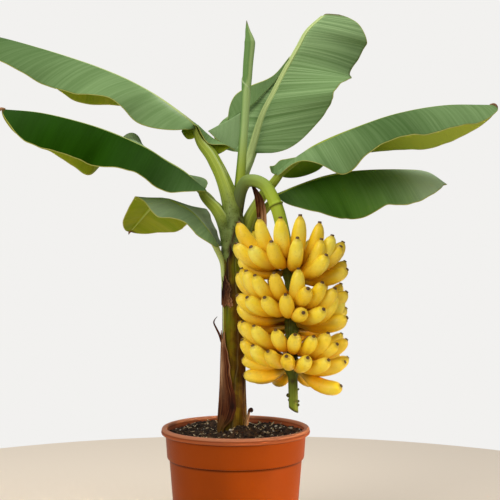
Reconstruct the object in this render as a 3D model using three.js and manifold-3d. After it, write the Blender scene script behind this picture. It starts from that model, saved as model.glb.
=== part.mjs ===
// A fruiting dwarf banana plant in a round plastic grow pot: pot, potting mix, false stem of
// wrapped leaf sheaths, six stalked leaves and a rolled new leaf, and an arched fruit stalk
// that carries four hands of bananas.
// Millimetres, +Z up. The origin is the centre of the pot's flat underside. The bunch hangs
// towards -Y and +X.
import * as THREE from "three";
import { mergeVertices } from "three/addons/utils/BufferGeometryUtils.js";
import Module from "manifold-3d";

const wasm = await Module();
wasm.setup();

// ---------- driving dimensions ----------

const GAP = 0.3;                 // clearance between a piece and its neighbour

const POT_HEIGHT = 255;
const POT_WALL = 3;
const POT_BASE_RADIUS = 118;
const POT_BODY_RADIUS = 134;     // body just under the collar
const COLLAR_LOW_RADIUS = 137.6;
const COLLAR_TOP_RADIUS = 141.5;
const COLLAR_BOTTOM = 196;       // height of the step under the collar
const RIM_RADIUS = 150;
const RIM_DEPTH = 13.5;          // height of the rolled lip
const POT_SIDES = 28;

const SOIL_EDGE = 237;           // height of the mix against the pot's wall
const SOIL_CROWN = 247;          // height of the mix at the stem

const PETIOLE_SIDES = 8;
const BLADE_THICKNESS = 2.6;
const BLADE_SPANS = 13;          // steps along a blade
const HALF_SPANS = 3;            // steps across each half of a blade
const BLADE_FOOT = 0.1;          // share of its full width that a blade has where it starts
const CURL = 0.8;                // how much a half blade's droop grows from its rib outwards

const FINGER_LENGTH = 86;        // fruit without its stalk
const FINGER_RADIUS = 12.6;
const FINGER_SIDES = 4;
const FINGER_SPANS = 3;
const STALK_RADIUS = 11.5;       // fruit stalk

const BUNCH_X = 110;             // axis of the hanging bunch
const BUNCH_Y = -80;
const STALK_CUT = 293;           // height of the cut end under the bunch

// ---------- materials ----------

const material = (color, roughness) => new THREE.MeshStandardMaterial({ color, roughness, metalness: 0 });

const POT_PLASTIC = material(0xb5583a, 0.45);
const SOIL_MIX = material(0x2c2620, 0.95);
const STEM_GREEN = material(0x7c8440, 0.6);
const PETIOLE_GREEN = material(0x93a848, 0.5);
const DRY_BROWN = material(0x8a6a4c, 0.9);
const LEAF_GREEN = material(0x4c7a38, 0.5);
const STALK_GREEN = material(0x8caa4e, 0.5);
const FRUIT_YELLOW = material(0xf2bd2c, 0.5);

// ---------- shape tools ----------

const point = ([x, y, z]) => new THREE.Vector3(x, y, z);

const curveThrough = (points) => new THREE.CatmullRomCurve3(points.map(point), false, "catmullrom", 0.5);

// The value at a share 0..1 of the way along an even list of numbers, smoothly between them.
function valueAt(values, share) {
  const span = Math.min(Math.max(share, 0), 1) * (values.length - 1);
  const i = Math.min(Math.floor(span), values.length - 2);
  const f = span - i;
  const [b, c] = [values[i], values[i + 1]];
  const a = i > 0 ? values[i - 1] : 2 * b - c;
  const d = i + 2 < values.length ? values[i + 2] : 2 * c - b;
  return 0.5 * (2 * b + (c - a) * f + (2 * a - 5 * b + 4 * c - d) * f ** 2 + (3 * b - a - 3 * c + d) * f ** 3);
}

function geometryOf(vertices, triangles) {
  const geometry = new THREE.BufferGeometry();
  geometry.setAttribute("position", new THREE.Float32BufferAttribute(vertices.flatMap((p) => p.toArray()), 3));
  geometry.setIndex(triangles.flat());
  return geometry;
}

// A closed skin through rings of the same number of points, capped at both ends.
function skin(rings) {
  const sides = rings[0].length;
  const vertices = rings.flat();
  const triangles = [];
  for (let r = 0; r < rings.length - 1; r++) {
    for (let s = 0; s < sides; s++) {
      const a = r * sides + s;
      const b = r * sides + ((s + 1) % sides);
      triangles.push([a, b, b + sides], [a, b + sides, a + sides]);
    }
  }
  const last = (rings.length - 1) * sides;
  for (let s = 1; s < sides - 1; s++) {
    triangles.push([0, s + 1, s], [last, last + s, last + s + 1]);
  }
  return geometryOf(vertices, triangles);
}

// A round limb along a curve through points. Its radii are an even list, or a function of the
// share of the way along.
function limb(points, radii, { sides = PETIOLE_SIDES, spans = 7, grow = 0 } = {}) {
  const curve = curveThrough(points);
  const frames = curve.computeFrenetFrames(spans, false);
  const rings = [];
  for (let r = 0; r <= spans; r++) {
    const share = r / spans;
    const centre = curve.getPointAt(share);
    const radius = (typeof radii === "function" ? radii(share) : valueAt(radii, share)) + grow;
    if (grow > 0 && (r === 0 || r === spans)) {
      centre.addScaledVector(frames.tangents[r], r === 0 ? -grow : grow);
    }
    const ring = [];
    for (let s = 0; s < sides; s++) {
      const angle = (2 * Math.PI * s) / sides;
      ring.push(
        centre
          .clone()
          .addScaledVector(frames.normals[r], radius * Math.cos(angle))
          .addScaledVector(frames.binormals[r], radius * Math.sin(angle)),
      );
    }
    rings.push(ring);
  }
  return skin(rings);
}

// A thin closed plate on both sides of a grid of points (rows of the same length).
function plate(grid, thickness) {
  const rows = grid.length;
  const columns = grid[0].length;
  const at = (i, j) => grid[Math.min(Math.max(i, 0), rows - 1)][Math.min(Math.max(j, 0), columns - 1)];
  const vertices = [];
  for (const side of [0.5, -0.5]) {
    for (let i = 0; i < rows; i++) {
      for (let j = 0; j < columns; j++) {
        const along = at(i + 1, j).clone().sub(at(i - 1, j));
        const across = at(i, j + 1).clone().sub(at(i, j - 1));
        const normal = along.cross(across).normalize();
        vertices.push(grid[i][j].clone().addScaledVector(normal, side * thickness));
      }
    }
  }
  const top = (i, j) => i * columns + j;
  const under = (i, j) => rows * columns + top(i, j);
  const triangles = [];
  for (let i = 0; i < rows - 1; i++) {
    for (let j = 0; j < columns - 1; j++) {
      const [a, b, c, d] = [[i, j], [i + 1, j], [i + 1, j + 1], [i, j + 1]];
      triangles.push([top(...a), top(...b), top(...c)], [top(...a), top(...c), top(...d)]);
      triangles.push([under(...a), under(...c), under(...b)], [under(...a), under(...d), under(...c)]);
    }
  }
  const close = (p, q) => {
    triangles.push([top(...p), under(...p), under(...q)], [top(...p), under(...q), top(...q)]);
  };
  for (let i = 0; i < rows - 1; i++) {
    close([i, 0], [i + 1, 0]);
    close([i + 1, columns - 1], [i, columns - 1]);
  }
  for (let j = 0; j < columns - 1; j++) {
    close([0, j + 1], [0, j]);
    close([rows - 1, j], [rows - 1, j + 1]);
  }
  return geometryOf(vertices, triangles);
}

// ---------- joining and cutting ----------

function solidOf(geometry) {
  const bare = geometry.clone();
  bare.deleteAttribute("normal");
  bare.deleteAttribute("uv");
  const merged = mergeVertices(bare, 1e-4);
  return new wasm.Manifold(
    new wasm.Mesh({
      numProp: 3,
      vertProperties: merged.attributes.position.array,
      triVerts: new Uint32Array(merged.index.array),
    }),
  );
}

function geometryFrom(solid) {
  const { vertProperties, triVerts } = solid.getMesh();
  const geometry = new THREE.BufferGeometry();
  geometry.setAttribute("position", new THREE.BufferAttribute(new Float32Array(vertProperties), 3));
  geometry.setIndex([...triVerts]);
  const faceted = geometry.toNonIndexed();
  faceted.computeVertexNormals();
  return faceted;
}

// The solid without its neighbours; slivers that the cuts leave loose are dropped.
function cutBy(solid, neighbours) {
  const cut = neighbours.reduce((rest, neighbour) => rest.subtract(neighbour), solid);
  return cut.decompose().reduce((best, piece) => (piece.volume() > best.volume() ? piece : best));
}

const plant = new THREE.Group();

function add(name, solid, surface) {
  const mesh = new THREE.Mesh(geometryFrom(solid), surface);
  mesh.name = name;
  plant.add(mesh);
}

// ---------- pot and potting mix ----------

const profile = (pairs) => pairs.map(([r, z]) => new THREE.Vector2(r, z));

const outerWall = [
  [POT_BASE_RADIUS - 3, 0],
  [POT_BASE_RADIUS, 3],
  [POT_BODY_RADIUS, COLLAR_BOTTOM - 4],
  [COLLAR_LOW_RADIUS, COLLAR_BOTTOM],
  [COLLAR_TOP_RADIUS, POT_HEIGHT - RIM_DEPTH],
];
const rolledLip = [
  [RIM_RADIUS - 1, POT_HEIGHT - RIM_DEPTH],
  [RIM_RADIUS, POT_HEIGHT - RIM_DEPTH + 2],
  [RIM_RADIUS - 0.6, POT_HEIGHT - 2.5],
  [RIM_RADIUS - 3, POT_HEIGHT],
  [COLLAR_TOP_RADIUS - POT_WALL + 2, POT_HEIGHT],
  [COLLAR_TOP_RADIUS - POT_WALL, POT_HEIGHT - 2],
];
const innerWall = [
  [COLLAR_LOW_RADIUS - POT_WALL, COLLAR_BOTTOM],
  [POT_BODY_RADIUS - POT_WALL, COLLAR_BOTTOM - 5],
  [POT_BASE_RADIUS - POT_WALL, POT_WALL],
];
const pot = new THREE.LatheGeometry(
  profile([[0, 0], ...outerWall, ...rolledLip, ...innerWall, [0, POT_WALL]]),
  POT_SIDES,
).rotateX(Math.PI / 2);

// The pot's inner radius at the height of the mix's edge.
const wallShare = (SOIL_EDGE - COLLAR_BOTTOM) / (POT_HEIGHT - 2 - COLLAR_BOTTOM);
const soilEdgeRadius = THREE.MathUtils.lerp(COLLAR_LOW_RADIUS, COLLAR_TOP_RADIUS, wallShare) - POT_WALL;
const soilMound = new THREE.LatheGeometry(
  profile([
    [0, POT_WALL + GAP],
    [POT_BASE_RADIUS - POT_WALL - 2 * GAP, POT_WALL + GAP],
    [POT_BODY_RADIUS - POT_WALL - 2 * GAP, COLLAR_BOTTOM - 5],
    [COLLAR_LOW_RADIUS - POT_WALL - 2 * GAP, COLLAR_BOTTOM + 2 * GAP],
    [soilEdgeRadius - 2 * GAP, SOIL_EDGE],
    [70, SOIL_CROWN - 3],
    [0, SOIL_CROWN],
  ]),
  POT_SIDES,
).rotateX(Math.PI / 2);

// ---------- stem, old sheath and stub ----------

const STEM_PATH = [
  [-6, 0, 190], [-6, 0, 245], [-5, 0, 330], [-4, 0, 430], [-4, 0, 530], [-7, 0, 610], [-9, 0, 665], [-8, 0, 706],
];
const STEM_RADII = [29, 28.5, 25.5, 23.5, 23.2, 24, 22, 17];
const stem = (grow = 0) => solidOf(limb(STEM_PATH, STEM_RADII, { sides: 14, spans: 9, grow }));

const STUB = { path: [[21, -27, 226], [24, -27, 262], [30, -26, 294]], radii: [5, 4.5, 4] };
const stub = (grow = 0) => solidOf(limb(STUB.path, STUB.radii, { sides: 7, spans: 4, grow }));

// A dry outer sheath that still wraps the left and front of the stem's lower half.
function drySheath() {
  const curve = curveThrough(STEM_PATH);
  const rows = [];
  const [low, high] = [0.12, 0.485];
  for (let i = 0; i <= 6; i++) {
    const share = low + ((high - low) * i) / 6;
    const centre = curve.getPointAt(share);
    const radius = valueAt(STEM_RADII, share) + 2.6;
    const frontEdge = THREE.MathUtils.lerp(285, 238, i / 6);
    const row = [];
    for (let j = 0; j <= 6; j++) {
      const angle = THREE.MathUtils.degToRad(THREE.MathUtils.lerp(150, frontEdge, j / 6));
      row.push(new THREE.Vector3(radius * Math.cos(angle), radius * Math.sin(angle), 0).add(centre));
    }
    rows.push(row);
  }
  return solidOf(plate(rows, 2.4));
}

// ---------- leaves ----------

// Each leaf: its petiole from the stem out to the blade, then the blade's rib from base to
// tip. right and left are the droop angles of the two halves below level, in degrees, at even
// steps from base to tip, seen from the base; turn rolls the whole blade about its rib, right
// side down. Sweeps say how far a half's veins lean towards the tip (negative: to the base).
const SWEEP = [-0.1, 0.1, 0.2, 0.25, 0.3];
const LEAVES = {
  upper_left: {
    petiole: [[-10, -2, 660], [-13, -1, 716], [-28, 4, 761], [-46, 12, 797], [-62, 20, 827], [-78, 30, 863]],
    petioleRadii: [15, 15, 13.5, 10.5, 8, 6.5],
    rib: [
      [-78, 30, 863], [-94, 35, 880], [-158, 60, 929], [-222, 80, 967], [-291, 105, 999],
      [-354, 125, 1023], [-424, 145, 1047], [-516, 170, 1075], [-613, 190, 1095],
    ],
    half: 115,
    right: [0, 10, 25, 35, 50, 38, 30, 25, 20],
    left: [30, 36, 26, 38, 43, 31, 25, 22, 20],
    baseShare: 0.16,
  },
  mid_left: {
    petiole: [[-14, -8, 636], [-24, -12, 672], [-46, -9, 706], [-62, -5, 734]],
    petioleRadii: [14, 12.5, 11, 8],
    rib: [
      [-62, -5, 734], [-101, -15, 769], [-141, -25, 793], [-185, -40, 819],
      [-269, -65, 852], [-367, -95, 875], [-444, -120, 880],
    ],
    half: 112,
    right: [-30, 0, 5, -14, 40, 72, 50, 38, 32, 26, 20],
    left: [10, 35, 40, 40, 50, 46, 44, 42, 30],
    rightSweep: [-0.1, 0, 0.05, 0.1, 0.2],
    baseShare: 0.2,
  },
  low_left: {
    petiole: [[-20, -10, 560], [-29, -16, 595], [-35, -18, 619]],
    petioleRadii: [12, 10, 7],
    rib: [
      [-35, -18, 619], [-59, -25, 659], [-85, -25, 687], [-111, -15, 703],
      [-147, 5, 714], [-178, 55, 700], [-226, 110, 651],
    ],
    half: 64,
    right: [0, -12, -18, -5, 15, 28, 28, 20, 20],
    left: [10, 20, 18, 30, 8, 8, 5, 0, 0],
    rightWidths: [1, 1, 1.4, 1.4],
    leftWidths: [1, 1, 0.9, 0.9],
    baseShare: 0.16,
  },
  tall_right: {
    petiole: [[-2, 18, 668], [4, 30, 712], [16, 42, 765], [29, 53, 813]],
    petioleRadii: [13, 12, 9.5, 7],
    rib: [
      [29, 53, 813], [52, 68, 891], [77, 80, 943], [102, 93, 993],
      [130, 108, 1044], [152, 123, 1083], [192, 148, 1123],
    ],
    half: 138,
    turn: 32,
    right: [15, 5, 0, 0, 25, 45, 28, 12, 0],
    left: [0, 15, 28, 35, 60, 80, 85, 85, 80],
    rightWidths: [1.12, 1.1, 1, 0.95, 0.93],
    rightSweep: [0.1, 0.2, 0.3, 0.35, 0.4],
    leftSweep: [-0.15, 0.05, 0.3, 0.35, 0.4],
    baseShare: 0.3,
    tipShare: 0.74,
    bluntness: 0.5,
  },
  upper_right: {
    petiole: [[0, 10, 604], [22, 14, 665], [48, 12, 712], [66, 8, 742], [83, 0, 769]],
    petioleRadii: [18, 16, 13, 10.5, 8],
    rib: [
      [83, 0, 769], [119, -8, 796], [165, -16, 826], [244, -28, 858],
      [323, -38, 883], [414, -50, 897], [508, -60, 896],
    ],
    half: 115,
    right: [20, 15, 50, 36, 30, 34, 31, 30, 20],
    left: [34, 32, 15, 24, 34, 41, 38, 30, 20],
    baseShare: 0.25,
  },
  low_right: {
    petiole: [[0, 18, 580], [26, 44, 640], [56, 38, 692], [82, 15, 725]],
    petioleRadii: [14, 12, 10, 7],
    rib: [
      [82, 15, 725], [119, 22, 742], [185, 35, 765], [254, 48, 776],
      [341, 62, 779], [400, 72, 774], [435, 80, 747],
    ],
    half: 112,
    right: [30, 40, 60, 68, 46, 45, 36, 25, 0],
    left: [0, 20, 30, 30, 30, 30, 20, 10, 0],
    baseShare: 0.25,
  },
};

// Share of the full half width at a share t of the blade's length.
function outline(t, { baseShare, tipShare = 0.62, bluntness = 0.75 }) {
  const beforeFull = Math.max(0, 1 - t / baseShare);
  const opening = BLADE_FOOT + (1 - BLADE_FOOT) * Math.sqrt(1 - beforeFull ** 2);
  const pastFull = Math.max(0, (t - tipShare) / (1 - tipShare));
  return Math.max(0.015, opening * (1 - pastFull ** 2) ** bluntness);
}

function blade(leaf) {
  const points = curveThrough(leaf.rib).getSpacedPoints(BLADE_SPANS);
  const grid = points.map((centre, i) => {
    const t = i / BLADE_SPANS;
    const before = points[Math.max(i - 1, 0)];
    const after = points[Math.min(i + 1, BLADE_SPANS)];
    const forward = after.clone().sub(before).normalize();
    const turn = THREE.MathUtils.degToRad(leaf.turn ?? 0);
    const level = forward.clone().cross(new THREE.Vector3(0, 0, 1)).normalize();
    const rightward = level.applyAxisAngle(forward, turn);
    const upward = rightward.clone().cross(forward);
    const halfOf = (side, droops, widths, sweeps) => {
      const width = leaf.half * outline(t, leaf) * valueAt(widths ?? [1, 1], t);
      const droop = THREE.MathUtils.degToRad(valueAt(droops, t));
      const row = [];
      let reach = centre.clone();
      for (let j = 1; j <= HALF_SPANS; j++) {
        const angle = droop * (1 - CURL / 2 + (CURL * (j - 0.5)) / HALF_SPANS);
        reach = reach
          .clone()
          .addScaledVector(rightward, (side * Math.cos(angle) * width) / HALF_SPANS)
          .addScaledVector(upward, (-Math.sin(angle) * width) / HALF_SPANS)
          .addScaledVector(forward, (valueAt(sweeps ?? SWEEP, t) * width) / HALF_SPANS);
        row.push(reach);
      }
      return row;
    };
    const left = halfOf(-1, leaf.left, leaf.leftWidths, leaf.leftSweep);
    const right = halfOf(1, leaf.right, leaf.rightWidths, leaf.rightSweep);
    return [...left.reverse(), centre, ...right];
  });
  return solidOf(plate(grid, BLADE_THICKNESS));
}

// The newest leaf, still rolled into an upright spear that ends in a fine spur.
const SPEAR_PATH = [
  [4, 10, 690], [9, 12, 752], [18, 12, 872], [24, 12, 981], [28, 12, 1032], [25, 12, 1056], [28, 12, 1077],
];
const SPEAR_SHOULDER = 0.87;
function spearRadius(share) {
  const pastShoulder = Math.max(0, (share - SPEAR_SHOULDER) / (1 - SPEAR_SHOULDER));
  return valueAt([11, 9, 8.5, 9.6, 11.2], share / SPEAR_SHOULDER) * (1 - pastShoulder) ** 1.3 + 0.7;
}
const spear = (grow = 0) => solidOf(limb(SPEAR_PATH, spearRadius, { sides: 8, spans: 15, grow }));

// ---------- fruit stalk and its dry bract ----------

// The stalk rises out of the crown, bends over to the front and right and hangs down
// through the bunch. It is split at the top of the bend and at the ring of the last bract.
const STALK_RISE = [[-3, -8, 655], [2, -13, 700], [9, -19, 731], [20, -29, 746]];
const STALK_BEND = [[20.4, -29.4, 746.3], [31, -39, 749], [45, -50, 746], [58, -58, 735], [68, -66, 717], [77, -72, 698]];
const STALK_HANG = [
  [77.2, -72.3, 697.6], [87, -77, 672], [98, -80, 625], [108, -80, 570], [110, -80, 440], [112, -80, STALK_CUT],
];
const stalkPiece = (path, spans, grow) =>
  solidOf(limb(path, [STALK_RADIUS, STALK_RADIUS], { sides: 10, spans, grow }));

function dryBract() {
  const rows = [];
  for (let i = 0; i <= 5; i++) {
    const share = i / 5;
    const width = THREE.MathUtils.lerp(5, 9, share);
    const centre = new THREE.Vector3(36 + 16 * share, -46 - 8 * share, 733 - 68 * share);
    const row = [-1, 0, 1].map((side) => {
      const bow = 3 * (1 - side * side);
      return centre.clone().add(new THREE.Vector3(side * width, bow, -2 * side));
    });
    rows.push(row);
  }
  return solidOf(plate(rows, 2.4));
}

// ---------- bananas ----------

// Each hand is a row of steeper fingers over a row of flatter ones, on a cushion round the
// stalk. Of a row: height is where it leaves the stalk, start its fingers' first angle above
// level, lift how far they turn up by their tips, front the extra start angle of the fingers
// on the front of the bunch, and offset turns the row round the stalk. Each row hangs lower at the
// right by slope each way from its middle.
const HANDS = [
  [
    { count: 11, height: 588, start: 10, lift: 60, front: 18, offset: 0.45, slope: 14 },
    { count: 11, height: 577, start: -4, lift: 60, front: 6, offset: 0.2, slope: 12 },
  ],
  [
    { count: 11, height: 515, start: 2, lift: 58, front: 2, offset: 0.6, slope: 12 },
    { count: 11, height: 494, start: -10, lift: 58, front: 0, offset: 0.1, slope: 10 },
  ],
  [
    { count: 11, height: 427, start: -4, lift: 58, front: 0, offset: 0.5, slope: 12 },
    { count: 11, height: 403, start: -14, lift: 48, front: 0, offset: 0, slope: 10 },
  ],
  [{ count: 5, height: 366, start: -14, lift: 34, front: 0, offset: 0.15, slope: 8 }],
];
const CUSHION_RADIUS = 18;
const FINGER_STALK = 14;          // stalk of a single fruit
const FINGER_SHAPE = [0.35, 1.05, 1.1, 0.45];      // share of its radius from stalk to tip

function finger({ heading, height, start, lift, front, slope }) {
  const step = (FINGER_LENGTH + FINGER_STALK) / FINGER_SPANS;
  const outward = new THREE.Vector3(Math.cos(heading), Math.sin(heading), 0);
  const sideways = new THREE.Vector3(-outward.y, outward.x, 0);
  const centre = new THREE.Vector3(BUNCH_X, BUNCH_Y, height - slope * outward.x);
  centre.addScaledVector(outward, CUSHION_RADIUS - 3);
  const first = start + front * Math.max(0, -outward.y) - 6 * outward.x;
  const rings = [];
  for (let r = 0; r <= FINGER_SPANS; r++) {
    const bend = (share) => THREE.MathUtils.degToRad(first + lift * share);
    const direction = (angle) => outward.clone().multiplyScalar(Math.cos(angle)).setZ(Math.sin(angle));
    const over = sideways.clone().cross(direction(bend(r / FINGER_SPANS)));
    const radius = FINGER_SHAPE[r] * FINGER_RADIUS;
    const ring = [];
    for (let s = 0; s < FINGER_SIDES; s++) {
      const turn = (2 * Math.PI * s) / FINGER_SIDES;
      ring.push(
        centre
          .clone()
          .addScaledVector(sideways, radius * Math.cos(turn))
          .addScaledVector(over, -radius * Math.sin(turn)),
      );
    }
    rings.push(ring);
    centre.addScaledVector(direction(bend((r + 0.5) / FINGER_SPANS)), step);
  }
  return solidOf(skin(rings));
}

function hand(rows) {
  const heights = rows.map((row) => row.height);
  const [top, bottom] = [Math.max(...heights) + 8, Math.min(...heights) - 8];
  const cushion = new THREE.CylinderGeometry(CUSHION_RADIUS, CUSHION_RADIUS, top - bottom, 8)
    .rotateX(Math.PI / 2)
    .translate(BUNCH_X - 1, BUNCH_Y, (top + bottom) / 2);
  const fingers = rows.flatMap(({ count, offset, ...row }) =>
    Array.from({ length: count }, (_, k) => finger({ ...row, heading: (2 * Math.PI * (k + offset)) / count })),
  );
  return fingers.reduce((joined, one) => joined.add(one), solidOf(cushion));
}

// ---------- assembly ----------

add("pot", solidOf(pot), POT_PLASTIC);
add("soil", cutBy(solidOf(soilMound), [stem(GAP), stub(GAP)]), SOIL_MIX);
add("stem", stem(), STEM_GREEN);
add("dry_sheath", cutBy(drySheath(), [stem(GAP)]), DRY_BROWN);
add("old_stub", cutBy(stub(), [stem(GAP)]), DRY_BROWN);

// Limbs that crowd the crown: each one is cut back by those already standing.
const standing = [stem(GAP)];
function addLimb(name, make, surface) {
  add(name, cutBy(make(0), standing), surface);
  standing.push(make(GAP));
}
addLimb("fruit_stalk_rise", (grow) => stalkPiece(STALK_RISE, 5, grow), STALK_GREEN);
addLimb("fruit_stalk_bend", (grow) => stalkPiece(STALK_BEND, 7, grow), STALK_GREEN);
addLimb("fruit_stalk_hang", (grow) => stalkPiece(STALK_HANG, 9, grow), STALK_GREEN);
addLimb("spear_leaf", spear, LEAF_GREEN);
for (const [name, leaf] of Object.entries(LEAVES)) {
  addLimb(
    "petiole_" + name,
    (grow) => solidOf(limb(leaf.petiole, leaf.petioleRadii, { spans: 6, grow })),
    PETIOLE_GREEN,
  );
}
add("dry_bract", cutBy(dryBract(), standing), DRY_BROWN);

for (const [name, leaf] of Object.entries(LEAVES)) {
  add("blade_" + name, cutBy(blade(leaf), standing), LEAF_GREEN);
}

HANDS.forEach((rows, k) => {
  add("banana_hand_" + (k + 1), cutBy(hand(rows), standing), FRUIT_YELLOW);
});

export default plant;
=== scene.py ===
"""Looks of a fruiting dwarf banana plant in a plastic grow pot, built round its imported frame.

Shapes are worked out in millimetres and made metres when a piece is finished. The origin is
the centre of the pot's flat underside, +Z is up, and the bunch hangs towards -Y and +X.
"""

import math
import random

import bpy
import numpy as np
from mathutils import Matrix, Vector, noise


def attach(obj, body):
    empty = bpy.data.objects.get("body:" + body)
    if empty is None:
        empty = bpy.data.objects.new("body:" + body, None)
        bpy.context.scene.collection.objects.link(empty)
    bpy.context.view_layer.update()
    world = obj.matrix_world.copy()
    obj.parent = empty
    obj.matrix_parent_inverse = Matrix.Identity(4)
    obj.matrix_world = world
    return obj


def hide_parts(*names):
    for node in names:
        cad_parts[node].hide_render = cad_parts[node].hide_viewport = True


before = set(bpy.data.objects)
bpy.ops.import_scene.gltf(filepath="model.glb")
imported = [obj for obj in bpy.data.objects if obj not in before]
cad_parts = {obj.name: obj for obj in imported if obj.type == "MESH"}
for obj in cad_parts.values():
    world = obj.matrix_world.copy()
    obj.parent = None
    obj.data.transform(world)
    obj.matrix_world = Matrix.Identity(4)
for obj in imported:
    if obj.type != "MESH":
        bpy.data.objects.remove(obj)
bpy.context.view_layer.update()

MM = 0.001
UP = np.array((0.0, 0.0, 1.0))

# ---------- camera ----------

CAMERA_PLACE = (0.0289, -2.149, 0.611)
CAMERA_LENS = 76.6


def make_camera():
    camera_data = bpy.data.cameras.new("camera")
    camera_data.lens = CAMERA_LENS
    camera_data.sensor_width = 36
    camera_data.clip_end = 50
    camera = bpy.data.objects.new("camera", camera_data)
    camera.location = CAMERA_PLACE
    camera.rotation_euler = (math.pi / 2, 0, 0)
    bpy.context.scene.collection.objects.link(camera)
    bpy.context.scene.camera = camera


make_camera()

# ---------- numbers along a line ----------


def blend(a, b, share):
    return a + (b - a) * share


def smooth_step(low, high, value):
    share = np.clip((value - low) / (high - low), 0, 1)
    return share * share * (3 - 2 * share)


def bell(value, middle, width):
    """1 at the middle, falling smoothly to almost nothing two widths away."""
    return np.exp(-(((value - middle) / width) ** 2))


def along_list(values, share):
    """The values of an even list at shares 0..1 of its length, smoothly between its entries."""
    values = np.array(values, float)
    ends = (2 * values[:1] - values[1:2], values, 2 * values[-1:] - values[-2:-1])
    padded = np.concatenate(ends)
    place = np.clip(np.asarray(share, float), 0, 1) * (len(values) - 1)
    start = np.minimum(place.astype(int), len(values) - 2)
    past = place - start
    if values.ndim > 1:
        past = past[..., None]
    a, b, c, d = (padded[start + k] for k in range(4))
    cubic = 3 * b - a - 3 * c + d
    return 0.5 * (2 * b + (c - a) * past + (2 * a - 5 * b + 4 * c - d) * past**2 + cubic * past**3)


def even_grid(rows, columns):
    """Even shares 0..1 down a column and 0..1 along a row, for a table of points."""
    return np.linspace(0, 1, rows + 1)[:, None], np.linspace(0, 1, columns + 1)[None, :]


def round_table(centre, radius, angle, height):
    """Points at a radius and an angle round each centre, at a height."""
    x = centre[..., 0] + radius * np.cos(angle)
    y = centre[..., 1] + radius * np.sin(angle)
    return np.stack([x, y, height + 0 * radius], -1)


def unit(vectors):
    return vectors / np.maximum(np.linalg.norm(vectors, axis=-1, keepdims=True), 1e-9)


def turned(vectors, axes, angles):
    """Each vector turned about its axis by its angle."""
    cos, sin = np.cos(angles)[..., None], np.sin(angles)[..., None]
    return vectors * cos + np.cross(axes, vectors) * sin


class Line:
    """A smooth line through points, read by the share of its length."""

    def __init__(self, points, samples=600):
        raw = along_list(points, np.linspace(0, 1, samples))
        steps = np.linalg.norm(np.diff(raw, axis=0), axis=1)
        self.reach = np.concatenate(([0], np.cumsum(steps)))
        self.length = self.reach[-1]
        self.raw = raw

    def at(self, share):
        place = np.clip(share, 0, 1) * self.length
        return np.stack([np.interp(place, self.reach, self.raw[:, k]) for k in range(3)], -1)

    def ahead(self, share):
        step = 0.004
        return unit(self.at(np.asarray(share) + step) - self.at(np.asarray(share) - step))


# ---------- modelling tools ----------


def deselect():
    if bpy.context.object and bpy.context.object.mode != "OBJECT":
        bpy.ops.object.mode_set(mode="OBJECT")
    bpy.ops.object.select_all(action="DESELECT")


def choose(piece):
    deselect()
    piece.select_set(True)
    bpy.context.view_layer.objects.active = piece


def edit(piece):
    choose(piece)
    bpy.ops.object.mode_set(mode="EDIT")
    bpy.ops.mesh.select_all(action="SELECT")


def leave_edit():
    bpy.ops.object.mode_set(mode="OBJECT")


def points_of(mesh):
    flat = np.empty(len(mesh.vertices) * 3)
    mesh.vertices.foreach_get("co", flat)
    return flat.reshape(-1, 3)


def move_points(mesh, points):
    mesh.vertices.foreach_set("co", np.ascontiguousarray(points, float).ravel())
    mesh.update()


def paint(mesh, name, values):
    """Stores one number at each vertex, which a material reads by name."""
    layer = mesh.attributes.get(name) or mesh.attributes.new(name, "FLOAT", "POINT")
    layer.data.foreach_set("value", np.ascontiguousarray(values, np.float32).ravel())


def shaped_grid(name, table, **marks):
    """A grid primitive laid out on a table of points (rows, columns), with marks painted on it."""
    rows, columns = table.shape[0] - 1, table.shape[1] - 1
    deselect()
    bpy.ops.mesh.primitive_grid_add(x_subdivisions=rows, y_subdivisions=columns, size=1)
    piece = bpy.context.object
    piece.name = name
    flat = points_of(piece.data)
    i = np.rint((flat[:, 0] + 0.5) * rows).astype(int)
    j = np.rint((flat[:, 1] + 0.5) * columns).astype(int)
    move_points(piece.data, table[i, j])
    for mark_name, values in marks.items():
        paint(piece.data, mark_name, np.broadcast_to(values, table.shape[:2])[i, j])
    return piece


def closed_tube(name, table, **marks):
    """A grid wrapped round into a tube: its long seam is merged and both ends are filled."""
    piece = shaped_grid(name, table, **marks)
    edit(piece)
    bpy.ops.mesh.remove_doubles(threshold=0.002)
    bpy.ops.mesh.select_all(action="DESELECT")
    bpy.ops.mesh.select_mode(type="EDGE")
    bpy.ops.mesh.select_non_manifold(extend=False)
    bpy.ops.mesh.fill_holes(sides=0)
    bpy.ops.mesh.select_all(action="SELECT")
    bpy.ops.mesh.normals_make_consistent(inside=False)
    leave_edit()
    return piece


def spun(name, profile, sides):
    """A round piece: its half outline is drawn point by point, then spun about the axis."""
    deselect()
    bpy.ops.mesh.primitive_plane_add(size=1)
    piece = bpy.context.object
    piece.name = name
    edit(piece)
    bpy.ops.mesh.merge(type="CENTER")
    radius, height = profile[0]
    bpy.ops.transform.translate(value=(radius, 0, height))
    for next_radius, next_height in profile[1:]:
        step = (next_radius - radius, 0, next_height - height)
        bpy.ops.mesh.extrude_region_move(TRANSFORM_OT_translate={"value": step})
        radius, height = next_radius, next_height
    bpy.ops.mesh.select_all(action="SELECT")
    bpy.ops.mesh.spin(steps=sides, angle=math.tau, center=(0, 0, 0), axis=(0, 0, 1))
    bpy.ops.mesh.select_all(action="SELECT")
    bpy.ops.mesh.remove_doubles(threshold=0.01)
    bpy.ops.mesh.normals_make_consistent(inside=False)
    leave_edit()
    return piece


def apply_modifier(piece, kind, **settings):
    choose(piece)
    modifier = piece.modifiers.new(kind.lower(), kind)
    for key, value in settings.items():
        setattr(modifier, key, value)
    bpy.ops.object.modifier_apply(modifier=modifier.name)


def copy_of(piece, name):
    twin = piece.copy()
    twin.data = piece.data.copy()
    twin.name = name
    bpy.context.scene.collection.objects.link(twin)
    return twin


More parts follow.
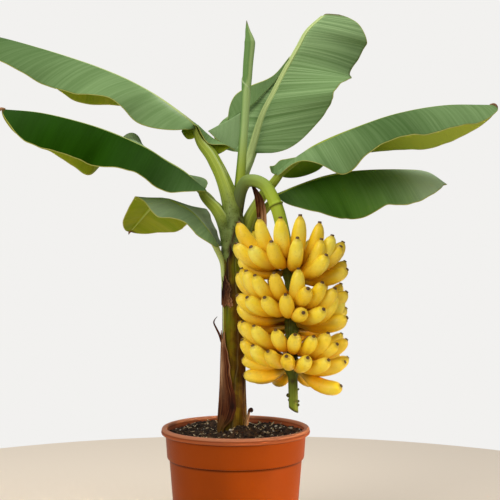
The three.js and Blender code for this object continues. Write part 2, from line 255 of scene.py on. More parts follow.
def join(pieces, name):
    deselect()
    for piece in pieces:
        piece.select_set(True)
    bpy.context.view_layer.objects.active = pieces[0]
    bpy.ops.object.join()
    pieces[0].name = name
    return pieces[0]


def finish(piece, materials, replaced=(), sharp=None):
    """Makes the piece metres, dresses it, and ties it to the frame."""
    piece.data.transform(Matrix.Scale(MM, 4))
    piece.data.materials.clear()
    for material in materials:
        piece.data.materials.append(material)
    choose(piece)
    if sharp is None:
        bpy.ops.object.shade_smooth()
    else:
        bpy.ops.object.shade_smooth_by_angle(angle=math.radians(sharp))
    deselect()
    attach(piece, "root")
    if replaced:
        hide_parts(*replaced)


def limb_table(line, radii, rows, columns, start=(0, -1, 0), shape=None):
    """Rings along a line: radius by the list, turned so that each starts towards start, and
    reshaped by shape(share, angle)."""
    share, around = even_grid(rows, columns)
    angle = math.tau * around
    centre, ahead = line.at(share), line.ahead(share)
    first = np.broadcast_to(np.array(start, float), ahead.shape)
    first = unit(first - (first * ahead).sum(-1, keepdims=True) * ahead)
    second = np.cross(ahead, first)
    radius = along_list(radii, share) + 0 * angle
    if shape is not None:
        radius = radius * shape(share, angle)
    out = first * np.cos(angle)[..., None] + second * np.sin(angle)[..., None]
    return centre + out * radius[..., None]


def limb(name, points, radii, rows, columns, start=(0, -1, 0), shape=None, **marks):
    """A closed tube along a line. A mark given as a pair grows evenly from foot to tip."""
    for mark_name, values in marks.items():
        if isinstance(values, tuple):
            marks[mark_name] = np.linspace(*values, rows + 1)[:, None]
    return closed_tube(name, limb_table(Line(points), radii, rows, columns, start, shape), **marks)


# ---------- material tools ----------

PLAIN_SPECULAR = 0.25
TONE_SPREAD = 4.0


def colour(code):
    """Scene-linear colour of a hex code."""
    channels = [int(code[k : k + 2], 16) / 255 for k in (1, 3, 5)]
    linear = [c / 12.92 if c <= 0.04045 else ((c + 0.055) / 1.055) ** 2.4 for c in channels]
    return (*linear, 1)


def node(tree, kind, inputs=None, **settings):
    """A node with its settings; each input takes a plain value or another node's output."""
    made = tree.nodes.new(kind)
    for key, value in settings.items():
        setattr(made, key, value)
    for key, value in (inputs or {}).items():
        if isinstance(value, bpy.types.NodeSocket):
            tree.links.new(value, made.inputs[key])
        else:
            made.inputs[key].default_value = value
    return made


def mixed(tree, factor, a, b):
    """Colour a turned into colour b by factor, where either may be a hex code."""
    a, b = (colour(side) if isinstance(side, str) else side for side in (a, b))
    return node(tree, "ShaderNodeMix", {0: factor, 6: a, 7: b}, data_type="RGBA").outputs[2]


def sums(tree, operation, a, b, clamp=False):
    made = node(tree, "ShaderNodeMath", {0: a, 1: b}, operation=operation, use_clamp=clamp)
    return made.outputs[0]


def times(tree, a, b):
    return sums(tree, "MULTIPLY", a, b)


def ranged(tree, value, low, high, to_low=0.0, to_high=1.0):
    inputs = {"Value": value, 1: low, 2: high, 3: to_low, 4: to_high}
    return node(tree, "ShaderNodeMapRange", inputs, interpolation_type="SMOOTHSTEP").outputs[0]


def ramp(tree, factor, stops):
    made = node(tree, "ShaderNodeValToRGB", {"Fac": factor})
    elements = made.color_ramp.elements
    while len(elements) < len(stops):
        elements.new(0.5)
    for element, (place, shade) in zip(elements, stops):
        element.position = place
        element.color = colour(shade)
    return made.outputs["Color"]


def mark(tree, name):
    return node(tree, "ShaderNodeAttribute", attribute_name=name).outputs["Fac"]


def object_place(tree):
    return node(tree, "ShaderNodeTexCoord").outputs["Object"]


def uv_place(tree):
    return node(tree, "ShaderNodeUVMap").outputs["UV"]


def axis_of(tree, place, axis):
    return node(tree, "ShaderNodeSeparateXYZ", {0: place}).outputs[axis]


def swapped_place(tree):
    """The piece's own map with across first and along second, as the fibre effect wants it."""
    parts = node(tree, "ShaderNodeSeparateXYZ", {0: uv_place(tree)}).outputs
    return node(tree, "ShaderNodeCombineXYZ", {0: parts["Y"], 1: parts["X"]}).outputs[0]


def new_material(name, **sockets):
    """A material and its node tree and shader, with plain values set on the shader's sockets."""
    material = bpy.data.materials.new(name)
    material.use_nodes = True
    shader = material.node_tree.nodes["Principled BSDF"]
    shader.inputs["Specular IOR Level"].default_value = PLAIN_SPECULAR
    for key, value in sockets.items():
        shader.inputs[key.replace("_", " ")].default_value = value
    return material, material.node_tree, shader


def wire(tree, shader, base, height=None, depth=0.001, roughness=None):
    """Links the colour, the bump of a height so many metres deep, and the roughness."""
    tree.links.new(base, shader.inputs["Base Color"])
    if roughness is not None:
        tree.links.new(roughness, shader.inputs["Roughness"])
    if height is not None:
        bump = node(tree, "ShaderNodeBump", {"Height": height, "Distance": depth, "Strength": 1.0})
        tree.links.new(bump.outputs[0], shader.inputs["Normal"])


def new_effect(name, inputs, outputs):
    """An empty shader node group and its input and output nodes. It reads a place and some
    numbers, and puts out numbers."""
    group = bpy.data.node_groups.new(name, "ShaderNodeTree")
    add_socket = group.interface.new_socket
    add_socket("Place", in_out="INPUT", socket_type="NodeSocketVector")
    for socket_name, value in inputs.items():
        socket = add_socket(socket_name, in_out="INPUT", socket_type="NodeSocketFloat")
        socket.default_value = value
    for socket_name in outputs:
        add_socket(socket_name, in_out="OUTPUT", socket_type="NodeSocketFloat")
    return group, group.nodes.new("NodeGroupInput"), group.nodes.new("NodeGroupOutput")


def noise_at(group, place, scale, detail, roughness=0.5):
    inputs = {"Vector": place, "Scale": scale, "Detail": detail, "Roughness": roughness}
    return node(group, "ShaderNodeTexNoise", inputs).outputs["Fac"]


def toned(group, value, contrast):
    """Noise spread about its middle by the contrast, and kept from 0 to 1."""
    spread = times(group, sums(group, "SUBTRACT", value, 0.5), contrast)
    return sums(group, "ADD", times(group, spread, TONE_SPREAD), 0.5, clamp=True)


def make_fibre_effect():
    """Fibres that run one way: noise drawn out along the second axis of its place."""
    numbers = {"Lines": 60.0, "Length": 1.0, "Contrast": 0.5}
    group, given, made = new_effect("Plant Fibre", numbers, ("Tone", "Height"))
    given = given.outputs
    stretch = node(group, "ShaderNodeCombineXYZ", {0: given["Lines"], 1: given["Length"], 2: 1.0})
    factors = {0: given["Place"], 1: stretch.outputs[0]}
    place = node(group, "ShaderNodeVectorMath", factors, operation="MULTIPLY").outputs[0]
    fine = noise_at(group, place, 1.0, 4.0, 0.6)
    group.links.new(toned(group, fine, given["Contrast"]), made.inputs["Tone"])
    group.links.new(fine, made.inputs["Height"])
    return group


def make_mottle_effect():
    """Soft clouds of tone, with finer flecks inside them."""
    numbers = {"Scale": 20.0, "Contrast": 0.5}
    group, given, made = new_effect("Soft Mottle", numbers, ("Tone", "Flecks"))
    given = given.outputs
    cloud = noise_at(group, given["Place"], given["Scale"], 3.0)
    fleck = noise_at(group, given["Place"], times(group, given["Scale"], 6.0), 2.0)
    group.links.new(toned(group, cloud, given["Contrast"]), made.inputs["Tone"])
    group.links.new(ranged(group, fleck, 0.56, 0.7), made.inputs["Flecks"])
    return group


FIBRE = make_fibre_effect()
MOTTLE = make_mottle_effect()


def fibre(tree, place, lines, length, contrast):
    inputs = {"Place": place, "Lines": lines, "Length": length, "Contrast": contrast}
    return node(tree, "ShaderNodeGroup", inputs, node_tree=FIBRE).outputs


def mottle(tree, place, scale, contrast):
    inputs = {"Place": place, "Scale": scale, "Contrast": contrast}
    return node(tree, "ShaderNodeGroup", inputs, node_tree=MOTTLE).outputs


# ---------- materials ----------


# Heights on the pot, in metres: where the painted shade under the collar starts, is full,
# fades and ends, where the lip's painted bands of highlight and shade start, and how much
# higher the lip's top is.
COLLAR_SHADE = (0.1868, 0.192, 0.1928, 0.1942)
LIP_LOW = 0.2385
LIP_RISE = 0.0165
# Heights between which the dry sheath's foot turns olive, in metres.
OLIVE_FOOT = (0.285, 0.24)
# Distances from a leaf's margin, in millimetres, between which its pale edge comes up.
EDGE_REACH = (2.2, 0.6)
WITHERED = "#5B4023"


def pot_plastic():
    """Moulded terracotta-coloured plastic: satin, with painted shade under its collar and painted
    light and shade on its beaded lip.
    """
    material, tree, shader = new_material("pot_plastic", Specular_IOR_Level=0.08)
    place = object_place(tree)
    cloud = mottle(tree, place, 9.0, 0.35)
    base = mixed(tree, cloud["Tone"], "#8C3902", "#9A4104")
    height = axis_of(tree, place, "Z")
    # Painted shade in the step under the collar.
    start, full, fading, end = COLLAR_SHADE
    shade = times(tree, ranged(tree, height, start, full), ranged(tree, height, end, fading))
    base = mixed(tree, times(tree, shade, 0.85), base, "#421700")
    # Painted highlight bands on the lip's beads, with painted shade in its groove and under it.
    lip_light_and_shade = ramp(
        tree,
        sums(tree, "DIVIDE", sums(tree, "SUBTRACT", height, LIP_LOW), LIP_RISE),
        [
            (0.0, "#8E3E08"), (0.12, "#6C2803"), (0.3, "#A45832"), (0.5, "#A2522C"),
            (0.62, "#7E3A18"), (0.75, "#B57250"), (1.0, "#BE7C5C"),
        ],
    )
    base = mixed(tree, ranged(tree, height, LIP_LOW, LIP_LOW + 0.001), base, lip_light_and_shade)
    grain = mottle(tree, place, 420.0, 0.4)
    rough = ranged(tree, grain["Tone"], 0.0, 1.0, 0.36, 0.5)
    wire(tree, shader, base, grain["Tone"], 0.00012, rough)
    return material


def potting_mix():
    """Damp dark mix: brown lumps in black, with a few lighter flecks."""
    material, tree, shader = new_material("potting_mix", Roughness=0.95)
    place = object_place(tree)
    lumps = mottle(tree, place, 130.0, 0.9)
    base = mixed(tree, lumps["Tone"], "#0E0805", "#4E3826")
    base = mixed(tree, lumps["Flecks"], base, "#57432F")
    wire(tree, shader, base, lumps["Tone"], 0.003)
    return material


def crumb_material(name, dark, light):
    """One kind of loose chunk on the mix, mottled from dark to light."""
    material, tree, shader = new_material(name, Roughness=0.9)
    cloud = mottle(tree, object_place(tree), 260.0, 1.0)
    base = mixed(tree, cloud["Tone"], dark, light)
    wire(tree, shader, base, cloud["Tone"], 0.0006)
    return material


def stem_sheath():
    """Wrapped leaf sheaths: olive green and fibrous, with brown and purple bruises, and painted
    shade in the creases by their edges and in the crown's split.
    """
    material, tree, shader = new_material("stem_sheath", Roughness=0.5, Specular_IOR_Level=0.06)
    lines = fibre(tree, swapped_place(tree), 90.0, 3.0, 0.8)
    cloud = mottle(tree, object_place(tree), 26.0, 0.8)
    base = mixed(tree, lines["Tone"], "#504006", "#846A10")
    base = mixed(tree, ranged(tree, cloud["Tone"], 0.4, 0.85, 0.0, 0.6), base, "#626410")
    rust = times(tree, mark(tree, "rust"), ranged(tree, lines["Tone"], 0.05, 0.75, 0.55, 1.0))
    base = mixed(tree, rust, base, "#663A0A")
    blots = mottle(tree, object_place(tree), 44.0, 1.0)
    brown = ranged(tree, blots["Tone"], 0.75, 0.25, 0.0, 0.6)
    base = mixed(tree, brown, base, "#4A2C0C")
    base = mixed(tree, mark(tree, "fresh"), base, "#68720F")
    # The dark mark is bruises, with painted shade in the creases by the sheath edges and in the crown's
    # split.
    dark = times(tree, mark(tree, "bruise"), ranged(tree, cloud["Tone"], 0.0, 0.7, 0.6, 1.0))
    base = mixed(tree, dark, base, "#26110F")
    pale = times(tree, mark(tree, "fold"), 0.8)
    base = mixed(tree, pale, base, "#A79A6C")
    rough = ranged(tree, lines["Tone"], 0.0, 1.0, 0.4, 0.62)
    wire(tree, shader, base, lines["Height"], 0.0012, rough)
    return material


def dry_sheath_material():
    """Dead sheath: streaky brown, olive at its foot, papery where folded, pale where a highlight
    is painted, and dark where bruised.
    """
    material, tree, shader = new_material("dry_sheath", Roughness=0.8, Specular_IOR_Level=0.12)
    lines = fibre(tree, swapped_place(tree), 24.0, 2.4, 0.75)
    cloud = mottle(tree, object_place(tree), 30.0, 1.0)
    base = ramp(
        tree,
        lines["Tone"],
        [(0.0, "#28110A"), (0.35, "#4A210C"), (0.7, "#6A381A"), (1.0, "#9C6C44")],
    )
    base = mixed(tree, ranged(tree, cloud["Tone"], 0.62, 0.9, 0.0, 0.5), base, "#845430")
    height = axis_of(tree, object_place(tree), "Z")
    base = mixed(tree, ranged(tree, height, *OLIVE_FOOT, 0.0, 0.65), base, "#5C4A0C")
    dark = times(tree, mark(tree, "bruise"), ranged(tree, cloud["Tone"], 0.1, 0.8, 0.5, 1.0))
    # Papery where folded, and pale where a highlight is painted down the sheath.
    papery = mixed(tree, lines["Tone"], "#8C5830", "#D0A67C")
    base = mixed(tree, mark(tree, "fold"), base, papery)
    base = mixed(tree, dark, base, "#240F0C")
    wire(tree, shader, base, lines["Height"], 0.0012)
    return material


def stalk_material(name, deep, bright, pale):
    """Leaf stalk and rib: smooth and yellow green, with fine lines and paler wings."""
    material, tree, shader = new_material(name, Roughness=0.42, Specular_IOR_Level=0.12)
    lines = fibre(tree, swapped_place(tree), 42.0, 2.0, 0.7)
    base = mixed(tree, lines["Tone"], deep, bright)
    speckle = mottle(tree, object_place(tree), 62.0, 0.7)
    foot = mark(tree, "foot")
    base = mixed(tree, foot, base, mixed(tree, speckle["Tone"], "#4A5A2A", "#7C8E52"))
    fleck = times(tree, speckle["Flecks"], times(tree, foot, 0.75))
    base = mixed(tree, fleck, base, "#3C2A14")
    base = mixed(tree, mark(tree, "wing"), base, pale)
    # The dark brown is painted shade on the stalks, and brown on the dry skins.
    base = mixed(tree, mark(tree, "bruise"), base, "#3B2416")
    wire(tree, shader, base, lines["Height"], 0.0006)
    return material


def rolled_leaf_material():
    """The rolled leaf: light green with one side painted in shade, and a yellow green foot."""
    material, tree, shader = new_material("rolled_leaf", Roughness=0.45, Specular_IOR_Level=0.08)
    lines = fibre(tree, swapped_place(tree), 26.0, 2.0, 0.5)
    light = mixed(tree, lines["Tone"], "#9AB66A", "#B2CA86")
    dark = mixed(tree, lines["Tone"], "#648A48", "#7A9C5A")
    # Painted shade on one side: darker green above, a deeper olive at the foot.
    base = mixed(tree, mark(tree, "shade_share"), light, dark)
    low = mixed(tree, mark(tree, "shade_share"), "#A2B23C", "#6C821C")
    base = mixed(tree, mark(tree, "foot"), base, low)
    # A pale line along the free edge, partly its margin and partly a painted highlight.
    base = mixed(tree, mark(tree, "wing"), base, "#D3DEAC")
    base = mixed(tree, mark(tree, "bruise"), base, "#6A5A30")
    wire(tree, shader, base, lines["Height"], 0.0005)
    return material


def edged(tree, base, edge_shade):
    """A leaf's colour with its pale margin and its withered end laid over it."""
    edge = ranged(tree, mark(tree, "from_margin"), *EDGE_REACH)
    base = mixed(tree, edge, base, edge_shade)
    return mixed(tree, mark(tree, "withered"), base, WITHERED)


def leaf_top():
    """Upper face: green with fine parallel veins, a waxy bloom with painted sheen, painted light
    and shade on its pleats, a pale rib and margin.
    """
    material, tree, shader = new_material("leaf_top", Specular_IOR_Level=0.006)
    place = uv_place(tree)
    veins = fibre(tree, place, 150.0, 1.2, 0.5)
    bands = fibre(tree, place, 11.0, 0.6, 0.38)
    pleats = fibre(tree, place, 52.0, 0.35, 1.0)
    deep = mixed(tree, bands["Tone"], "#173401", "#244C05")
    # A brighter green, painted light on the parts of a blade that lie in shade.
    vivid_painted_light = mixed(tree, bands["Tone"], "#3E6E06", "#558A14")
    deep = mixed(tree, mark(tree, "vivid_painted_light"), deep, vivid_painted_light)
    waxy = mixed(tree, bands["Tone"], "#6C8A51", "#7F9B66")
    # The waxy colour is partly the leaf's bloom and partly painted sheen; past 1 it turns paler still.
    base = mixed(tree, mark(tree, "bloom"), deep, waxy)
    base = mixed(tree, ranged(tree, mark(tree, "bloom"), 1.0, 2.0), base, "#BECDAF")
    fine = ranged(tree, veins["Tone"], 0.3, 1.0, 0.0, 0.16)
    base = mixed(tree, times(tree, fine, mark(tree, "bloom")), base, "#A9C08E")
    # Painted highlights on the pleats' crests and painted shade in the troughs between them.
    pleat_highlight = times(tree, mark(tree, "pleat"), pleats["Tone"])
    pleat_highlight = times(tree, pleat_highlight, mark(tree, "bloom"))
    base = mixed(tree, times(tree, pleat_highlight, 0.5), base, "#A8C48A")
    pleat_shade = times(tree, mark(tree, "pleat"), sums(tree, "SUBTRACT", 1.0, pleats["Tone"]))
    base = mixed(tree, times(tree, pleat_shade, 0.24), base, "#2F5312")
    rib = ranged(tree, mark(tree, "rib_share"), 1.1, 0.85)
    base = mixed(tree, rib, base, mixed(tree, veins["Tone"], "#97B263", "#B9CE8E"))
    base = edged(tree, base, "#B5B55A")
    rough = ranged(tree, veins["Tone"], 0.0, 1.0, 0.48, 0.6)
    ribbed = times(tree, pleats["Height"], times(tree, mark(tree, "pleat"), 4.0))
    height = sums(tree, "ADD", veins["Height"], times(tree, bands["Height"], 2.0))
    height = sums(tree, "ADD", height, ribbed)
    wire(tree, shader, base, height, 0.0006, rough)
    return material


def leaf_underside():
    """Lower face: yellower, lit through, with its veins standing out."""
    material, tree, shader = new_material("leaf_underside", Specular_IOR_Level=0.08)
    place = uv_place(tree)
    veins = fibre(tree, place, 150.0, 1.2, 0.6)
    bands = fibre(tree, place, 14.0, 0.7, 0.7)
    base = mixed(tree, bands["Tone"], "#7C940A", "#9CA422")
    base = mixed(tree, ranged(tree, veins["Tone"], 0.3, 1.0, 0.0, 0.25), base, "#A3A444")
    along = axis_of(tree, place, "X")
    base = mixed(tree, ranged(tree, along, 0.34, 0.16), base, "#7DA014")
    base = mixed(tree, mark(tree, "lit_under"), base, "#C6D654")
    base = edged(tree, base, "#C0BC63")
    wire(tree, shader, base, veins["Height"], 0.0008)
    return material


def leaf_margin():
    """The thin cut edge of a blade, straw coloured."""
    material, tree, shader = new_material("leaf_margin", Roughness=0.55)
    cloud = mottle(tree, object_place(tree), 60.0, 0.8)
    base = mixed(tree, cloud["Tone"], "#A5A64C", "#C4C27C")
    base = mixed(tree, mark(tree, "withered"), base, WITHERED)
    wire(tree, shader, base)
    return material


def banana_peel():
    """Ripe peel: orange yellow at its root, with painted shade there where the fingers crowd,
    bright at its end, with a green neck and brown tip.
    """
    material, tree, shader = new_material("banana_peel", Roughness=0.42, Specular_IOR_Level=0.45)
    cloud = mottle(tree, object_place(tree), 38.0, 0.7)
    length = mark(tree, "finger_share")
    deep = mixed(tree, cloud["Tone"], "#F4B202", "#FBC008")
    bright = mixed(tree, cloud["Tone"], "#FFE42A", "#FFF062")
    # Deeper orange towards the root: painted shade where the fingers crowd together.
    base = mixed(tree, ranged(tree, length, 0.25, 0.85), deep, bright)
    base = mixed(tree, mark(tree, "ripeness"), base, "#F5C410")
    ridge = times(tree, mark(tree, "ridge"), 0.22)
    base = mixed(tree, ridge, base, "#E8A614")
    base = mixed(tree, ranged(tree, length, 0.3, 0.12), base, "#B58F1E")
    base = mixed(tree, ranged(tree, length, 0.93, 0.965, 0.0, 0.45), base, "#A9801E")
    base = mixed(tree, ranged(tree, length, 0.975, 0.985), base, "#5A3A10")
    flecks = times(tree, cloud["Flecks"], 0.12)
    base = mixed(tree, flecks, base, "#8A5A1C")
    fine = mottle(tree, object_place(tree), 300.0, 0.4)
    wire(tree, shader, base, fine["Tone"], 0.00012)
    return material


def fruit_stalk_material():
    """Fruit stalk: yellow green, darker where shaded, grey where waxy and brown where cut."""
    material, tree, shader = new_material("fruit_stalk", Roughness=0.45, Specular_IOR_Level=0.14)
    lines = fibre(tree, swapped_place(tree), 30.0, 5.0, 0.5)
    base = mixed(tree, mark(tree, "shade_share"), "#A9BE36", "#3E4708")
    base = mixed(tree, mark(tree, "waxy"), base, "#71875A")
    base = mixed(tree, ranged(tree, lines["Tone"], 0.1, 0.9, 0.0, 0.2), base, "#A5BA52")
    # The dark brown is the cut end, scars and foot, with painted shadow under the ring and painted
    # shade in the crown's split.
    base = mixed(tree, mark(tree, "bruise"), base, "#33200F")
    wire(tree, shader, base, lines["Height"], 0.0006)
    return material


POT_PLASTIC = pot_plastic()
POTTING_MIX = potting_mix()
DARK_CRUMB = crumb_material("dark_crumb", "#17110D", "#3C2E22")
BARK_CHIP = crumb_material("bark_chip", "#7A6244", "#D2C09A")
PERLITE = crumb_material("perlite", "#A79C86", "#E0D8C6")
STEM_SHEATH = stem_sheath()
DRY_SHEATH = dry_sheath_material()
LEAF_STALK = stalk_material("leaf_stalk", "#84992C", "#BAC850", "#C0D08C")
ROLLED_LEAF = rolled_leaf_material()
LEAF_TOP = leaf_top()
LEAF_UNDERSIDE = leaf_underside()
LEAF_MARGIN = leaf_margin()
BANANA_PEEL = banana_peel()
FRUIT_STALK = fruit_stalk_material()

# ---------- pot ----------

POT_SIDES = 112
# Half outline of the pot, radius and height: from the middle of its underside up its outside
# to the inner edge of its lip, then down its inside to the middle of its floor.
POT_OUTSIDE = (
    (0, 2.2), (104, 2.2), (106, 0), (115, 0), (117.4, 1.0), (118.2, 3.4),
    (133.3, 188), (133.5, 191.2), (134.2, 192.8), (137.2, 193.8), (138.2, 196.0),
    (141.2, 239.0), (141.6, 240.6), (143.4, 241.4), (147.6, 241.7), (149.3, 243.0),
    (150.0, 245.4), (149.7, 247.2), (148.9, 248.0), (149.2, 249.6), (149.0, 251.6),
    (147.6, 253.8), (145.4, 254.9), (142.4, 255.0), (139.9, 254.2), (138.7, 252.4),
)
POT_INSIDE = (
    (134.9, 196.6), (134.0, 194.2), (131.4, 192.6), (130.6, 189), (115, 6.5), (112, 5), (0, 5),
)


def make_pot():
    pot = spun("pot_shell", POT_OUTSIDE + POT_INSIDE, POT_SIDES)
    finish(pot, [POT_PLASTIC], ["pot"], sharp=40)


make_pot()

# ---------- potting mix ----------

MIX_EDGE = 237.0
MIX_CROWN = 246.0
MIX_RADIUS = 137.2
# Where the mix ends below its edge: its height, and its share of the radius.
MIX_FOOT = (200.0, 0.985)
# Mounds and hollows: x, y, width, height.
MOUNDS = (
    (10, -42, 26, 15), (36, -30, 22, 9), (-78, 78, 30, 9), (-46, 96, 26, 8),
    (70, 74, 40, 7), (-120, 0, 34, 8), (60, -70, 34, -3), (-50, -64, 32, 4), (118, 15, 34, 9),
)
# Lumps of three sizes: width, where they are read in the noise, and height.
LUMPS = ((15, 3.1, 5.0), (6.0, 8.4, 3.2), (2.6, 1.7, 1.1))
# No loose chunk lies nearer than this to the stem's middle, which is at this x.
STEM_CLEARANCE = 31
STEM_X = -6
# Width of the smoother ring at the mix's edge.
MIX_SMOOTH_RING = 6
# How dented the chunks are, how far they lean, and how high they are for their width.
CHUNK_DENTS = 0.45
CHUNK_LEAN = 0.35
CHUNK_HEIGHTS = (0.5, 0.9)


def mix_height(x, y):
    """Height of the mix's top: a low crown with mounds and hollows."""
    out = np.clip(np.hypot(x, y) / MIX_RADIUS, 0, 1)
    height = blend(MIX_CROWN, MIX_EDGE, out**1.3)
    for mound_x, mound_y, width, rise in MOUNDS:
        height = height + rise * bell(x, mound_x, width) * bell(y, mound_y, width)
    return height


def lumps(x, y):
    return sum(noise.noise((x / wide, y / wide, read_at)) * rise for wide, read_at, rise in LUMPS)


def make_mix():
    """The potting mix: its lumpy top, and a short wall down from its edge."""
    share, around = even_grid(64, 220)
    radii = MIX_RADIUS * blend(0.02, 1, share)
    x, y = radii * np.cos(math.tau * around), radii * np.sin(math.tau * around)
    rough = np.array([[lumps(px, py) for px, py in zip(*row)] for row in zip(x, y)])
    from_edge = np.clip((MIX_RADIUS - radii) / MIX_SMOOTH_RING, 0, 1)
    top = np.stack([x, y, mix_height(x, y) + rough * (0.35 + 0.65 * from_edge)], -1)
    foot_height, foot_share = MIX_FOOT
    foot = top[-1:] * (foot_share, foot_share, 0) + foot_height * UP
    soil = closed_tube("potting_mix", np.concatenate([top, foot]))
    finish(soil, [POTTING_MIX], ["soil"])


def scatter(name, material, count, sizes, stretch, seed):
    """Small chunks of one kind on the mix: one lump, copied with its own size and turn."""
    rng = random.Random(seed)
    deselect()
    bpy.ops.mesh.primitive_ico_sphere_add(subdivisions=1, radius=1)
    lump = bpy.context.object
    for vertex in lump.data.vertices:
        vertex.co *= 1 + CHUNK_DENTS * (rng.random() - 0.5)
    chunks = []
    while len(chunks) < count:
        radius = MIX_RADIUS * math.sqrt(rng.random())
        angle = rng.random() * math.tau
        x, y = radius * math.cos(angle), radius * math.sin(angle)
        size = rng.uniform(*sizes)
        turn = Matrix.Rotation(rng.random() * math.tau, 4, "Z")
        lean = Matrix.Rotation(rng.gauss(0, CHUNK_LEAN), 4, "Y")
        flat = rng.uniform(*CHUNK_HEIGHTS)
        shape = Matrix.Diagonal((size * stretch, size, size * flat, 1))
        inside = radius < MIX_RADIUS - size * stretch
        if not inside or math.hypot(x - STEM_X, y) <= STEM_CLEARANCE:
            continue
        top = float(mix_height(x, y)) + lumps(x, y) + size * 0.25
        chunk = copy_of(lump, name)
        chunk.data.transform(Matrix.Translation((x, y, top)) @ turn @ lean @ shape)
        chunks.append(chunk)
    bpy.data.objects.remove(lump)
    finish(join(chunks, name), [material], sharp=30)


make_mix()
scatter("dark_crumbs", DARK_CRUMB, 420, (1.4, 4.2), 1.3, 11)
scatter("bark_chips", BARK_CHIP, 190, (0.8, 2.0), 4.6, 12)
scatter("perlite_grains", PERLITE, 95, (1.1, 3.0), 1.25, 13)

# ---------- false stem ----------

STEM = Line([
    (-6, 0, 190), (-6, 0, 245), (-5, 0, 330), (-4, 0, 430),
    (-4, 0, 530), (-7, 0, 610), (-9, 0, 665), (-8, 0, 706),
])
STEM_HEIGHTS = (190, 706)
STEM_RADII = (29, 28.5, 25.5, 23.5, 23.2, 24, 22, 17)
# How much thinner the stem is than its radii, before the sheath edges stand proud of it.
EDGE_ALLOWANCE = 1.3
# Free edges of the wrapped sheaths: the heights of their low and high ends, their headings in
# degrees at those ends, and how proud the edge stands.
SHEATH_EDGES = (
    (225, 470, 262, 300, 1.4),
    (225, 560, 322, 352, 1.3),
    (470, 690, 236, 262, 1.6),
    (505, 700, 278, 300, 1.8),
    (240, 620, 120, 160, 1.5),
    (300, 680, 30, 70, 1.5),
)
# How far an edge takes to come up at its low end and to go at its high end, in millimetres,
# and over how many degrees it dies away round the stem.
EDGE_ENDS = (12, 20)
EDGE_SPREAD = 55
# Coloured places on the front: mark, X, height, half width, half height, strength.
FRONT_STAINS = (
    ("bruise", -6, 624, 4.5, 14, 0.9), ("bruise", -11, 604, 6, 14, 0.85),
    ("bruise", -17, 548, 5, 50, 0.8), ("fresh", 3, 572, 11, 25, 0.85),
    ("bruise", -12, 528, 8, 20, 0.75), ("rust", -8, 509, 9, 10, 1.0),
    ("fresh", -14, 480, 9, 20, 0.4), ("rust", 7, 480, 10, 26, 0.9),
    ("rust", 14, 390, 8, 62, 0.95), ("bruise", 3, 340, 4, 52, 0.4),
    ("rust", 14, 300, 7, 38, 0.6), ("bruise", -9, 303, 8, 19, 0.95),
    ("rust", 8, 430, 9, 46, 0.75), ("rust", 19, 440, 5, 130, 0.7),
    ("bruise", 12, 352, 7, 40, 0.45), ("fresh", -14, 455, 6, 40, 0.35),
    ("rust", 19, 300, 5, 60, 0.6), ("fresh", -14, 640, 9, 26, 0.55),
)
# Coloured places elsewhere: mark, height, heading, half height, half width in degrees, strength.
STEM_STAINS = (
    ("bruise", 256, 200, 34, 22, 0.5), ("bruise", 480, 352, 200, 16, 0.2),
    ("bruise", 600, 95, 60, 18, 0.8), ("bruise", 420, 70, 70, 10, 0.7),
    ("rust", 280, 206, 70, 30, 0.7), ("rust", 350, 100, 110, 60, 0.6),
    ("rust", 480, 40, 90, 40, 0.5), ("fresh", 600, 150, 60, 34, 0.5),
    ("fresh", 495, 228, 60, 14, 0.45), ("fresh", 640, 30, 60, 30, 0.6),
)

# The split down the front of the crown, painted dark as shade: X, height, and how wide it is.
CROWN_SEAM = (
    (24, 727, 1.2), (18, 701, 1.6), (9, 675, 2.0), (-1, 651, 3.0), (-5, 634, 4.0), (-10, 618, 4.5),
    (-13, 604, 5.0),
)
# Heights over which the split comes up and goes, and how far back it reaches.
SEAM_FOOT = (598, 612)
SEAM_TOP = (722, 734)
SEAM_BACK = 4


def heading_gap(headings, heading):
    return (headings - heading + 180) % 360 - 180


def seam_shade(points):
    """How far each point at the front lies inside the crown's split, painted dark as shade."""
    seam = np.array(CROWN_SEAM, float)
    height = points[..., 2]
    across, wide = (np.interp(-height, -seam[:, 1], seam[:, k]) for k in (0, 2))
    inside = smooth_step(*SEAM_FOOT, height) * (1 - smooth_step(*SEAM_TOP, height))
    return inside * (points[..., 1] < SEAM_BACK) * bell(points[..., 0], across, wide)


